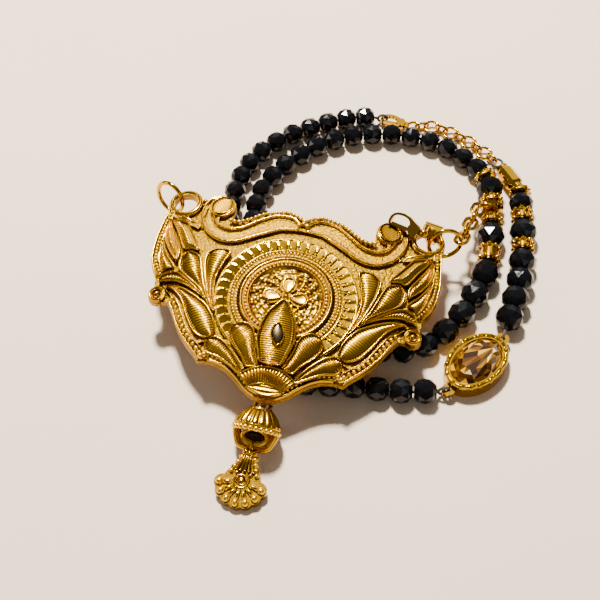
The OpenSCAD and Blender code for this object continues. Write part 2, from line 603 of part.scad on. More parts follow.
// Beads. A piece stands on Z with its middle at the origin
end_face_r = 0.32;
function trim(kind) = kind == "bead" ? 0.6 : kind == "bar" ? 3 : 1.7;
module strung(j, i, kind, d) {
    along = j[i + 1] - j[i];
    l = norm(along) - bead_gap - trim(kind) * (sin(bend(j, i) / 2) + sin(bend(j, i + 1) / 2));
    translate((j[i] + j[i + 1]) / 2) rotate(aim(along)) {
        if (kind == "bead") bead(d, l);
        if (kind == "crown") crown(d, l);
        if (kind == "rondelle") rondelle(d, l);
        if (kind == "bar") bar(d, l);
    }
}

module bore(l) { translate([0, 0, -l]) cylinder(h = 2 * l, d = bore_d, $fn = 24); }

// Black bead: an octagonal prism with its two ends cut to eight slanting facets
module bead(d, l) {
    point = l / 2 + bore_d / 2 * tan(22.5) * cos(45);
    difference() {
        intersection() {
            rotate([0, 0, 22.5]) translate([0, 0, -l]) cylinder(h = 2 * l, r = 0.475 * d / cos(22.5), $fn = 8);
            translate([-d, 0, 0]) rotate([0, 90, 0]) cylinder(h = 2 * d, r = point, $fn = 8);
            translate([0, d, 0]) rotate([90, 0, 0]) cylinder(h = 2 * d, r = point, $fn = 8);
        }
        bore(l);
    }
}

module crown(d, l) {
    g = min(1.05, 0.44 * l);
    difference() {
        union() {
            translate([0, 0, -l / 2]) cylinder(h = l, r = end_face_r * d);
            translate([0, 0, 0.3 * g - l / 2]) cylinder(h = l - 0.6 * g, r = d / 2 - 0.56 * g);
            for (s = [-1, 1], i = [0 : crown_grains - 1])
                rotate([0, 0, (i + s / 4) * 360 / crown_grains]) translate([d / 2 - g / 2, 0, s * (l - g) / 2])
                    sphere(g / 2, $fn = 24);
        }
        bore(l);
    }
}

module rondelle(d, l) {
    rotate_extrude() polygon([[bore_d / 2, -l / 2], [end_face_r * d, -l / 2], [0.45 * d, -0.32 * l], [d / 2, 0],
        [0.45 * d, 0.32 * l], [end_face_r * d, l / 2], [bore_d / 2, l / 2]]);
}

module bar(d, l) {
    difference() {
        union() {
            translate([0, 0, -l / 2]) cylinder(h = l, r = 0.4 * d);
            intersection() {
                rotate([0, 0, 22.5]) translate([0, 0, -l]) cylinder(h = 2 * l, r = d / 2 / cos(22.5), $fn = 8);
                rotate_extrude() polygon([[0, 0.6 - l / 2], [0.36 * d, 0.6 - l / 2], [0.6 * d, 1.9 - l / 2],
                    [0.6 * d, l / 2 - 1.9], [0.36 * d, l / 2 - 0.6], [0, l / 2 - 0.6]]);
            }
        }
        bore(l);
    }
}

module black_beads(j, rows, from, to) {
    color([0.08, 0.08, 0.09]) laid_out()
        for (i = [from : to]) if (rows[i][0] == "bead") strung(j, i, "bead", rows[i][3]);
}
module black_beads_first() { black_beads(long_joints, long_rows, 0, space_row - 1); }
module black_beads_second() { black_beads(long_joints, long_rows, space_row + 1, len(long_rows) - 1); }
module black_beads_third() { black_beads(short_joints, short_rows, 0, len(short_rows) - 1); }

// Numbers of the pieces of one kind in a row
function of_kind(rows, kind) = [for (i = [0 : len(rows) - 1]) if (rows[i][0] == kind) i];
long_crowns = of_kind(long_rows, "crown");
short_crowns = of_kind(short_rows, "crown");
module gold_crown(i) {
    color("goldenrod") laid_out()
        if (i <= len(long_crowns)) strung(long_joints, long_crowns[i - 1], "crown", crown_d);
        else strung(short_joints, short_crowns[i - 1 - len(long_crowns)], "crown", crown_d);
}
module gold_rondelle() {
    color("goldenrod") laid_out() strung(long_joints, of_kind(long_rows, "rondelle")[0], "rondelle", crown_d);
}
module bar_bead() { color("gold") laid_out() strung(short_joints, of_kind(short_rows, "bar")[0], "bar", bar_d); }

// Oval stone in its frame
girdle_z = 1.75;
girdle_t = 0.3;
stone_foot = 0.35;
function oval(l, w, n, phase) = [for (i = [0 : n - 1]) [l / 2 * cos(360 * i / n + phase), w / 2 * sin(360 * i / n + phase)]];
function at_height(p, z) = [for (q = p) [q.x, q.y, z]];
// Oval whose flats, not its corners, reach the given sizes
function around(l, w) = oval(l / cos(180 / 40), w / cos(180 / 40), 40, 4.5);

module on_oval() { translate([oval_at.x, oval_at.y, 0]) rotate([0, 0, oval_turn]) children(); }

module oval_frame() {
    l = stone_l + 2 * stone_gap;
    w = stone_w + 2 * stone_gap;
    top = girdle_z + girdle_t;
    color("gold") laid_out() on_oval() {
        difference() {
            linear_extrude(top + 0.8) polygon(around(l + 2 * frame_t, w + 2 * frame_t));
            translate([0, 0, -1]) linear_extrude(4) polygon(around(l - 1.2, w - 1.2));
            translate([0, 0, girdle_z - 0.5]) linear_extrude(girdle_t + 0.95) polygon(around(l, w));
            translate([0, 0, girdle_z]) linear_extrude(4) polygon(around(l - 0.5, w - 0.5));
        }
        for (s = [-1, 1]) {
            translate([s * end_reach, 0, end_ring_z - end_ring_wire / 2]) difference() {
                union() {
                    cylinder(h = end_ring_wire, d = end_ring_d);
                    translate([-s * 1.15 - 0.35, -0.8, 0]) cube([0.7, 1.6, end_ring_wire]);
                }
                translate([0, 0, -1]) cylinder(h = 3, d = end_ring_d - 2 * end_ring_wire);
            }
        }
    }
}

module oval_stone() {
    ring_a = at_height(oval(0.56 * stone_l, 0.56 * stone_w, 8, 22.5), stone_h + stone_foot);
    ring_b = at_height(oval(0.84 * stone_l, 0.82 * stone_w, 8, 0), 0.62 * stone_h + 0.38 * girdle_z + 0.1);
    ring_c = at_height(oval(stone_l, stone_w, 16, 0), girdle_z + girdle_t);
    ring_d = at_height(oval(stone_l, stone_w, 16, 0), girdle_z);
    ring_e = at_height(oval(0.5 * stone_l, 0.5 * stone_w, 8, 0), stone_foot);
    faces = concat(
        [[for (i = [0 : 7]) i]],
        [for (i = [0 : 7]) each [[i, 8 + i, 8 + (i + 1) % 8], [(i + 7) % 8, 8 + i, i]]],
        [for (i = [0 : 7]) let (b = 8 + i, c = 16 + 2 * i, before = 16 + (2 * i + 15) % 16, after = 16 + (2 * i + 1) % 16)
            each [[b, before, c], [b, c, after], [b, after, 8 + (i + 1) % 8]]],
        [for (i = [0 : 15]) each [[16 + i, 32 + i, 32 + (i + 1) % 16], [16 + i, 32 + (i + 1) % 16, 16 + (i + 1) % 16]]],
        [for (i = [0 : 7]) let (e = 48 + i, d = 32 + 2 * i, before = 32 + (2 * i + 15) % 16, after = 32 + (2 * i + 1) % 16)
            each [[e, d, before], [e, after, d], [e, 48 + (i + 1) % 8, after]]],
        [[for (i = [7 : -1 : 0]) 48 + i]]);
    color([0.55, 0.33, 0.05]) laid_out() on_oval()
        polyhedron(concat(ring_a, ring_b, ring_c, ring_d, ring_e), [for (f = faces) [for (i = [len(f) - 1 : -1 : 0]) f[i]]]);
}

// Fluted cap. It stands on Z from its small end, with its stirrup beyond the rim
lug_mid = from_plate([lug_at.x, lug_at.y, -sag(lug_at.x, lug_at.y) - lug_drop]);
cap_at = lug_mid + [-0.6, -2.5, 1.05];
cap_way = direction([-0.21, -0.87, -0.437]);
cap_flutes = 14;
cap_grains = 22;
bell = [for (q = [[0.44, 0], [0.5, 0.14], [0.62, 0.36], [0.76, 0.62], [0.9, 0.84], [0.97, 1]]) [q[0] * cap_d / 2, q[1] * cap_l]];
hollow = [for (q = [[0.2, 0.4], [0.5, 0.5], [0.66, 0.72], [0.8, 1.1], [0.82, 1.3]]) [q[0] * cap_d / 2, q[1] * cap_l]];
stirrup_l = 3.6;
bar_wire = 1;
bar_at = cap_at + (cap_l + stirrup_l) * cap_way;

module cap_shell() {
    rim = cap_d / 2;
    difference() {
        union() {
            rotate_extrude() polygon(concat([[0, 0]], bell, [[0, cap_l]]));
            translate([0, 0, cap_l - 0.35]) cylinder(h = 0.9, r = rim - 0.2);
            for (i = [0 : cap_flutes - 1]) rotate([0, 0, (i + 0.5) * 360 / cap_flutes]) rotate([90, 0, 0])
                translate([0, 0, -0.25]) linear_extrude(0.5)
                    polygon(concat([for (q = bell) q + [0.22, 0]], [for (k = [len(bell) - 1 : -1 : 0]) bell[k] - [0.3, 0]]));
            for (i = [0 : cap_grains - 1]) rotate([0, 0, i * 360 / cap_grains])
                translate([rim - 0.15, 0, cap_l + 0.1]) sphere(0.42, $fn = 20);
        }
        rotate_extrude() polygon(concat([[0, hollow[0].y]], hollow, [[0, last(hollow).y]]));
    }
    side = [0, cap_d / 2 - 0.55, cap_l + 0.2];
    foot = [0, 2.3, cap_l + stirrup_l];
    for (s = [-1, 1]) {
        rod([0, s * side.y, side.z], [0, s * foot.y, foot.z], 1.15);
        translate([0, s * foot.y, foot.z]) sphere(0.62, $fn = 24);
    }
    rod([0, -foot.y, foot.z], [0, foot.y, foot.z], bar_wire);
}

module bail_cap() {
    color("goldenrod") laid_out() {
        translate(cap_at) rotate(aim(cap_way)) cap_shell();
        translate(lug_mid + [-0.32, -1.36, -0.17]) ring(3.5, 0.7);
    }
}

// Flower drop, hanging down Y from the middle of its loop
module flower_drop() {
    rose = [0, -0.7 * drop_w];
    lobe = 0.35 * drop_w;
    color("goldenrod") laid_out() translate(bar_at) rotate([0, 0, -15.6]) rotate([7.2, 0, 0]) {
        rotate([0, 90, 0]) ring(2.6, 0.6);
        translate([0, 0, -1]) linear_extrude(1.2) {
            polygon([[-0.75, -1.0], [0.75, -1.0], [1.7, -4.4], [2.5, rose.y], [-2.5, rose.y], [-1.7, -4.4]]);
            translate(rose) circle(lobe);
            for (k = [0 : 6]) translate(rose) rotate(192 + 26 * k) translate([lobe, 0]) circle(drop_w / 2 - lobe);
        }
        translate([-1.1, -1.9, -1]) cube([2.2, 0.7, 1.75]);
        for (k = [-2 : 2]) rod([k * 0.28, -1.6, 0.2], [k * 0.75, -5.0 + abs(k) * 0.3, 0.15], 0.62);
        for (k = [0 : 6]) translate(rose) rotate([0, 0, 192 + 26 * k]) {
            translate([1.3, -0.3, 0]) cube([lobe - 0.6, 0.6, 0.6]);
            translate([lobe + 0.55, 0, 0.2]) sphere(0.62, $fn = 24);
        }
        translate([rose.x, rose.y, 0.35]) ring(3.2, 0.75);
        translate([rose.x, rose.y, 0.3]) sphere(0.72, $fn = 24);
        for (s = [-1, 1], q = [[1.35, -2.2, 0.52], [1.75, -3.4, 0.5], [2.2, -4.5, 0.55], [1.25, -5.4, 0.5]])
            translate([s * q[0], q[1], 0.1]) sphere(q[2], $fn = 24);
    }
}

pendant_plate();
bail_cap();
flower_drop();
left_jump_ring();
right_jump_ring();
tie_ring();
for (i = [1 : chain_links]) chain_link(i);
pendant_clasp_body();
pendant_clasp_lever();
back_clasp_body();
back_clasp_lever();
for (i = [1 : 9]) extender_link(i);
oval_frame();
oval_stone();
bar_bead();
gold_rondelle();  // rondelle
for (i = [1 : 7]) gold_crown(i);
black_beads_first();
black_beads_second();
black_beads_third();
thread_long();
thread_short();
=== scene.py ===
"""Looks of the mangalsutra: a domed gold plate lying on a string of black faceted beads wound twice.

Shapes are worked out in millimetres in the shared frame, and become metres when a mesh is made.
"""

import logging
import math
from dataclasses import dataclass
from enum import Enum
from typing import Any, Sequence

import bpy
import numpy as np
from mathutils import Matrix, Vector


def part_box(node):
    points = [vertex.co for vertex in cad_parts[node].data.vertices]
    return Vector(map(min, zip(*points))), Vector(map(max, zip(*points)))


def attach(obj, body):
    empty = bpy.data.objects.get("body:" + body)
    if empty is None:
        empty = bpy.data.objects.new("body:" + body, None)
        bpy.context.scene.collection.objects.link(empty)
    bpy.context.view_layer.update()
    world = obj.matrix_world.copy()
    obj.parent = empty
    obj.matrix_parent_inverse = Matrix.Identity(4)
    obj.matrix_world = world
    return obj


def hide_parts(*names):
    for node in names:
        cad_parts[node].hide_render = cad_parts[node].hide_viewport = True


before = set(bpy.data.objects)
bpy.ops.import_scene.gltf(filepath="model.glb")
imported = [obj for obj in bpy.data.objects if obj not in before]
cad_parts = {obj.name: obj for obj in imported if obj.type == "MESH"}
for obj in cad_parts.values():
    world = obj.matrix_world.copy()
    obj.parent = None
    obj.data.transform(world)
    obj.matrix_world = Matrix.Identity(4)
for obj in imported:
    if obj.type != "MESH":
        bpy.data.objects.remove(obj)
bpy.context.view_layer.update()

Array = np.ndarray
Colour = tuple[float, float, float]
Pair = tuple[float, float]
Place = tuple[float, float, float]
MM = 0.001
ROOT = "necklace"
UP = np.array([0.0, 0.0, 1.0])
log = logging.getLogger("mangalsutra")


# Shader building


class Link:
    """A socket's output, with arithmetic that adds Math nodes."""

    def __init__(self, tree: "Shader", socket: Any) -> None:
        """Keeps the shader that the socket belongs to, and the socket."""
        self.tree, self.socket = tree, socket

    def _math(self, operation: str, a: Any, b: Any) -> "Link":
        """One Math node on two values or links."""
        return self.tree.node("ShaderNodeMath", {"operation": operation}, {0: a, 1: b})

    def __add__(self, other: Any) -> "Link":
        """Sum."""
        return self._math("ADD", self, other)

    def __sub__(self, other: Any) -> "Link":
        """Difference."""
        return self._math("SUBTRACT", self, other)

    def __rsub__(self, other: Any) -> "Link":
        """Reflected difference."""
        return self._math("SUBTRACT", other, self)

    def __mul__(self, other: Any) -> "Link":
        """Product."""
        return self._math("MULTIPLY", self, other)

    __radd__ = __add__
    __rmul__ = __mul__


class Shader:
    """A material's node tree."""

    def __init__(self, name: str) -> None:
        """Starts an empty material.

        Args:
            name: the material's name.
        """
        self.material = bpy.data.materials.new(name)
        self.material.use_nodes = True
        self.tree = self.material.node_tree
        self.tree.nodes.clear()

    def node(self, kind: str, settings: dict[str, Any], inputs: dict[Any, Any], output: Any = 0) -> Link:
        """Adds a node.

        Args:
            kind: the node's type.
            settings: its own properties, set before its sockets; "stops" fills a colour ramp.
            inputs: socket name or number to a value or a Link.
            output: name or number of the output that is returned.

        Returns:
            The link of that output.
        """
        made = self.tree.nodes.new(kind)
        for key, value in settings.items():
            if key == "stops":
                ramp = made.color_ramp.elements
                while len(ramp) < len(value):
                    ramp.new(0.5)
                for stop, (place, colour) in zip(ramp, value):
                    stop.position, stop.color = place, (*colour, 1)
            else:
                setattr(made, key, value)
        for key, value in inputs.items():
            if isinstance(value, Link):
                self.tree.links.new(value.socket, made.inputs[key])
            else:
                made.inputs[key].default_value = value
        return Link(self, made.outputs[output])

    def noise(self, scale: float, detail: float = 2.0) -> Link:
        """Noise of so many waves a metre on the piece's own coordinates, 0 to 1."""
        place = self.node("ShaderNodeTexCoord", {}, {}, "Object")
        return self.node("ShaderNodeTexNoise", {}, {"Vector": place, "Scale": scale, "Detail": detail}, "Fac")

    def tone(self) -> Link:
        """The piece's own tone attribute, 0 to 1."""
        return self.node("ShaderNodeAttribute", {"attribute_name": "tone"}, {}, "Fac")

    def spread(self, value: Link, low: float, high: float, to_low: float, to_high: float) -> Link:
        """Maps a value's range onto another, clamped."""
        return self.node("ShaderNodeMapRange", {"clamp": True},
                         {0: value, 1: low, 2: high, 3: to_low, 4: to_high})

    def mix(self, factor: Any, a: Any, b: Any) -> Link:
        """Mixes two colours.

        Args:
            factor: share of the second colour, a value or a link.
            a: first colour or its link.
            b: second colour or its link.

        Returns:
            The mixed colour's link.
        """
        a = a if isinstance(a, Link) else (*a, 1)
        b = b if isinstance(b, Link) else (*b, 1)
        return self.node("ShaderNodeMix", {"data_type": "RGBA"}, {0: factor, 6: a, 7: b}, 2)

    def bump(self, height: Link, distance: float) -> Link:
        """Normal bent by a height, in metres at full height."""
        return self.node("ShaderNodeBump", {}, {"Height": height, "Distance": distance, "Strength": 1.0})

    def finish(self, **inputs: Any) -> bpy.types.Material:
        """Ends the tree in a Principled shader.

        Args:
            **inputs: its sockets' values or links; underscores stand for the spaces in their names.

        Returns:
            The material.
        """
        named = {key.replace("_", " "): value for key, value in inputs.items()}
        surface = self.node("ShaderNodeBsdfPrincipled", {}, named)
        out = self.tree.nodes.new("ShaderNodeOutputMaterial")
        self.tree.links.new(surface.socket, out.inputs["Surface"])
        return self.material


@dataclass(frozen=True)
class Gold:
    """Cast or polished gold whose colour and roughness follow a tone, 0 in recesses to 1 on polished tops.

    A toned finish reads the piece's tone attribute. The others take their tone from how open the surface
    is: ambient occlusion up to reach millimetres, times tone. Recesses get painted shade, a darker colour,
    and are rough; tops are bright and smooth, and the grain is a bump of so many millimetres. Scales are waves
    a metre.
    """

    name: str
    bright: Colour = (0.54, 0.285, 0.001)
    painted_shade_colour: Colour = (0.045, 0.013, 0.0)
    smooth: float = 0.15
    rough: float = 0.36
    grain: float = 0.012
    grain_scale: float = 2600.0
    toned: bool = True
    tone: float = 0.8
    reach: float = 0.9
    cloud_scale: float = 260.0
    cloud_share: float = 0.2
    patch_scale: float = 420.0

    def occlusion_shade(self, s: Shader) -> Link:
        """Tone of a CAD node: its openness by ambient occlusion, which paints shade into its recesses, with
        clouds on it.

        Args:
            s: the shader that gets the nodes.

        Returns:
            The tone's link.
        """
        open_share = s.node("ShaderNodeAmbientOcclusion", {"only_local": True, "samples": 6},
                            {"Distance": self.reach * MM}, "AO")
        return s.spread(open_share, 0.25, 0.9, 0.0, self.tone) + (s.noise(self.patch_scale, 3.0) - 0.5) * 0.2

    def material(self) -> bpy.types.Material:
        """Builds the node tree.

        Returns:
            The material.
        """
        s = Shader(self.name)
        tone = s.tone() if self.toned else self.occlusion_shade(s)
        cloud = s.noise(self.cloud_scale, 3.0)
        shade = s.spread(tone + (cloud - 0.5) * self.cloud_share, 0.05, 0.85, 0.0, 1.0)
        # Painted shade: low tone mixes the gold towards the painted shade colour.
        colour = s.mix(shade, self.painted_shade_colour, self.bright)
        grain = s.noise(self.grain_scale, 2.0)
        roughness = s.spread(tone, 0.1, 0.95, self.rough, self.smooth) + (grain - 0.5) * 0.1
        return s.finish(Base_Color=colour, Metallic=1.0, Roughness=roughness,
                        Normal=s.bump(grain, self.grain * MM))


@dataclass(frozen=True)
class BlackGlass:
    """Glossy black glass."""

    name: str = "black_glass"
    darker: Colour = (0.001, 0.001, 0.0015)
    lighter: Colour = (0.005, 0.005, 0.006)
    sheen: float = 0.2

    def material(self) -> bpy.types.Material:
        """Builds the node tree.

        Returns:
            The material.
        """
        s = Shader(self.name)
        cloud = s.noise(300.0, 2.0)
        colour = s.mix(cloud, self.darker, self.lighter)
        roughness = s.spread(s.noise(900.0, 3.0), 0.3, 0.7, 0.05, 0.12)
        return s.finish(Base_Color=colour, Roughness=roughness, IOR=1.5, Specular_IOR_Level=self.sheen)


@dataclass(frozen=True)
class AmberStone:
    """Polished brown stone whose facets get painted reflections: each facet's tone picks its colour, from
    nearly black to pale straw, through the stone's own browns.
    """

    name: str = "amber_stone"
    stops: tuple[tuple[float, Colour], ...] = (
        (0.0, (0.018, 0.005, 0.0)), (0.3, (0.055, 0.018, 0.0)), (0.55, (0.15, 0.058, 0.001)),
        (0.8, (0.66, 0.34, 0.002)), (1.0, (0.90, 0.80, 0.45)))

    def material(self) -> bpy.types.Material:
        """Builds the node tree.

        Returns:
            The material.
        """
        s = Shader(self.name)
        tone = s.tone()
        cloud = s.noise(320.0, 2.0)
        colour = s.node("ShaderNodeValToRGB", {"stops": self.stops}, {"Fac": tone + (cloud - 0.5) * 0.16},
                        "Color")
        return s.finish(Base_Color=colour, Roughness=0.05 + cloud * 0.05, IOR=1.5, Specular_IOR_Level=0.3,
                        Coat_Weight=0.12, Coat_Roughness=0.03)


@dataclass(frozen=True)
class Twine:
    """Dark twisted thread."""

    name: str = "thread"
    darker: Colour = (0.015, 0.012, 0.012)
    lighter: Colour = (0.08, 0.07, 0.065)

    def material(self) -> bpy.types.Material:
        """Builds the node tree.

        Returns:
            The material.
        """
        s = Shader(self.name)
        fibre = s.noise(5000.0, 3.0)
        colour = s.mix(fibre, self.darker, self.lighter)
        return s.finish(Base_Color=colour, Roughness=0.85, Normal=s.bump(fibre, 0.08 * MM))


@dataclass(frozen=True)
class PaleFloor:
    """Plain pale matt surface."""

    name: str = "pale_floor"
    darker: Colour = (0.73, 0.575, 0.425)
    lighter: Colour = (0.84, 0.685, 0.525)

    def material(self) -> bpy.types.Material:
        """Builds the node tree.

        Returns:
            The material.
        """
        s = Shader(self.name)
        cloud = s.noise(14.0, 2.0)
        fine = s.noise(1800.0, 2.0)
        colour = s.mix(cloud * 0.6 + fine * 0.4, self.darker, self.lighter)
        return s.finish(Base_Color=colour, Roughness=0.9, Normal=s.bump(fine, 0.05 * MM))


# Meshes


class Shell:
    """Surfaces gathered into one mesh, with a tone for every point."""

    # Points under the sheet take a low tone: painted shade.
    buried_tone = 0.1

    def __init__(self) -> None:
        """Starts with no surface."""
        self.points: list[Array] = []
        self.tones: list[Array] = []
        self.faces: list[list[int]] = []
        self.count = 0

    def put(self, points: Array, tone: Any) -> Array:
        """Adds points.

        Args:
            points: places in millimetres, the last axis being X, Y and Z.
            tone: one tone for all, or one for each point.

        Returns:
            The points' numbers, in the shape of the grid.
        """
        flat = points.reshape(-1, 3)
        self.points.append(flat)
        self.tones.append(np.broadcast_to(np.asarray(tone, float), points.shape[:-1]).reshape(-1))
        numbers = np.arange(self.count, self.count + len(flat)).reshape(points.shape[:-1])
        self.count += len(flat)
        return numbers

    def quads(self, a: Array, b: Array, c: Array, d: Array) -> None:
        """Adds faces whose corners run a, b, c, d."""
        self.faces.extend(np.stack([a, b, c, d], -1).reshape(-1, 4).tolist())

    def web(self, n: Array, wrap_u: bool = False, wrap_v: bool = False) -> None:
        """Adds the quads of a grid of point numbers.

        Args:
            n: the grid; u runs down its rows, v along them, and u x v points out.
            wrap_u: whether the last row joins the first.
            wrap_v: whether the last column joins the first.
        """
        if wrap_u:
            n = np.concatenate([n, n[:1]], 0)
        if wrap_v:
            n = np.concatenate([n, n[:, :1]], 1)
        self.quads(n[:-1, :-1], n[1:, :-1], n[1:, 1:], n[:-1, 1:])

    def slab(self, top: Array, under: Array, tone: Any, closed: bool = False) -> None:
        """Adds a closed sheet: a grid of top points, and two edge rows under it.

        Args:
            top: grid of places; u runs down its rows, v along them, and u x v points out.
            under: places under the first and the last column, two to a row.
            tone: tone of the top.
            closed: whether the last row joins the first; otherwise both ends get a face.
        """
        t = self.put(top, tone)
        u = self.put(under, self.buried_tone)
        if closed:
            t, u = np.concatenate([t, t[:1]]), np.concatenate([u, u[:1]])
        self.web(t)
        self.quads(u[:-1, 0], u[1:, 0], t[1:, 0], t[:-1, 0])
        self.quads(t[:-1, -1], t[1:, -1], u[1:, 1], u[:-1, 1])
        self.quads(u[:-1, 1], u[1:, 1], u[1:, 0], u[:-1, 0])
        if not closed:
            self.faces.append([*t[0].tolist(), int(u[0, 1]), int(u[0, 0])])
            self.faces.append([*t[-1][::-1].tolist(), int(u[-1, 0]), int(u[-1, 1])])

    def piece(self, name: str, finish: bpy.types.Material, slot: str, body: str = ROOT,
              replaces: Sequence[str] = (), smooth: bool = True) -> None:
        """Makes the object and hangs it on its body.

        Args:
            name: the piece's name.
            finish: its material.
            slot: not used.
            body: the CAD body it rides on.
            replaces: CAD nodes that it stands for.
            smooth: whether faces shade smoothly.
        """
        mesh = bpy.data.meshes.new(name)
        mesh.from_pydata((np.concatenate(self.points) * MM).tolist(), [], self.faces)
        tone = mesh.attributes.new("tone", "FLOAT", "POINT")
        tone.data.foreach_set("value", np.concatenate(self.tones).astype(np.float32))
        mesh.polygons.foreach_set("use_smooth", np.full(len(mesh.polygons), smooth))
        mesh.materials.append(finish)
        mesh.validate()
        made = bpy.data.objects.new(name, mesh)
        bpy.context.scene.collection.objects.link(made)
        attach(made, body)
        if replaces:
            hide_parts(*replaces)
        mesh.calc_loop_triangles()
        log.info("%s: %d triangles", name, len(mesh.loop_triangles))


# Curves


def catmull(points: Array, steps: int, closed: bool = False) -> Array:
    """Smooth curve through points: between b and c it is the cubic that leaves b along c - a.

    Args:
        points: chosen points, one to a row.
        steps: steps between neighbours.
        closed: whether the last point joins the first.

    Returns:
        The curve's points; a closed curve doesn't repeat its first.
    """
    p = np.asarray(points, float)
    count = len(p)
    spans = np.arange(count if closed else count - 1)

    def at(i: Array) -> Array:
        """Points with numbers i, wrapped or held at the ends."""
        return p[i % count] if closed else p[np.clip(i, 0, count - 1)]

    a, b, c, d = (at(spans + k)[:, None, :] for k in (-1, 0, 1, 2))
    t = (np.arange(steps) / steps)[None, :, None]
    curve = (2 * b + (c - a) * t + (2 * a - 5 * b + 4 * c - d) * t**2 + (3 * b - a - 3 * c + d) * t**3) / 2
    curve = curve.reshape(-1, p.shape[1])
    return curve if closed else np.vstack([curve, p[-1:]])


def run_length(path: Array) -> Array:
    """Length run up to each point of a path."""
    return np.concatenate([[0.0], np.cumsum(np.linalg.norm(np.diff(path, axis=0), axis=1))])


def resample(path: Array, at: Array) -> Array:
    """The points of a path where the shares "at" of its length are run, each 0 to 1."""
    s = run_length(path)
    return np.stack([np.interp(at * s[-1], s, path[:, k]) for k in range(path.shape[1])], -1)


def pitched(path: Array, pitch: float) -> Array:
    """Points about a pitch apart along a path, spread evenly."""
    count = max(2, round(run_length(path)[-1] / pitch))
    return resample(path, np.linspace(0, 1, count))


def inset(path: Array, distance: float) -> Array:
    """Moves a flat path sideways: each point goes along its own normal.

    Args:
        path: flat points in order.
        distance: how far to the right, seen along the path.

    Returns:
        The moved path.
    """
    way = np.gradient(path, axis=0)
    way /= np.linalg.norm(way, axis=1, keepdims=True)
    return path + distance * np.stack([way[:, 1], -way[:, 0]], -1)


def arc(centre: Sequence[float], radius: float, start: float, end: float, steps: int) -> Array:
    """Points of an arc between two angles in degrees."""
    a = np.radians(np.linspace(start, end, steps + 1))
    return np.asarray(centre) + radius * np.stack([np.cos(a), np.sin(a)], -1)


def spun(a: Any, b: Any, degrees: float) -> tuple[Any, Any]:
    """Turns the plane of a and b by an angle, from a towards b.

    Args:
        a: values along the first axis.
        b: values along the second axis.
        degrees: the angle.

    Returns:
        a * cosine - b * sine, and a * sine + b * cosine.
    """
    c, s = math.cos(math.radians(degrees)), math.sin(math.radians(degrees))
    return a * c - b * s, a * s + b * c


# The plate's own coordinates


@dataclass(frozen=True)
class PlateLie:
    """How the plate lies: its dome, its turns in degrees and its flower's place in the shared frame."""

    width: float = 57.0
    height: float = 41.0
    dome: float = 2.4
    flower: Place = (-12.45, -9.64, 9.825)
    turn: float = -11.3
    tilt: float = 6.0
    roll: float = 0.8

    def wing(self, shares: Sequence[Sequence[float]]) -> Array:
        """Points given as shares of half the width and of the height, in millimetres."""
        return np.asarray(shares, float) * [self.width / 2, self.height]

    def place(self, flat: Array, rise: Any) -> Array:
        """Places points on the domed sheet.

        Z is the height over the plane of a sphere that is larger than the dome's by the rise. The point
        is then rolled about Y, tilted about X and turned about Z.

        Args:
            flat: X and Y in the plate's own plane, in millimetres.
            rise: height over the sheet's front.

        Returns:
            Places in the shared frame, in millimetres.
        """
        half = self.width / 2
        radius = (half**2 + self.dome**2) / (2 * self.dome)
        x, y = flat[..., 0], flat[..., 1]
        z = np.sqrt((radius + rise) ** 2 - x**2 - y**2) - radius
        z, x = spun(z, x, self.roll)
        y, z = spun(y, z, self.tilt)
        x, y = spun(x, y, self.turn)
        return np.stack([x, y, z], -1) + np.asarray(self.flower)


LIE = PlateLie()
SUNK = -0.2


def mirrored(path: Array) -> Array:
    """The same path on the plate's other side, run the other way."""
    return (path * [-1, 1])[::-1]


def both_sides(path: Array) -> tuple[Array, Array]:
    """The path and its mirror image."""
    return path, mirrored(path)


def rise_over(path: Array, rise: float) -> Array:
    """Places over a flat path, a rise over the sheet."""
    return LIE.place(path, np.full(len(path), rise))


def half_round(t: Array) -> Array:
    """Height of a half circle of radius 1, where t runs across it from -1 to 1: square root of 1 - t * t."""
    return np.sqrt(np.clip(1 - t**2, 0, 1))


# Raised forms


class Hatch(Enum):
    """How a leaf's engraved lines run."""

    ACROSS = "across"
    SLANTED = "slanted"
    FEATHERED = "feathered"


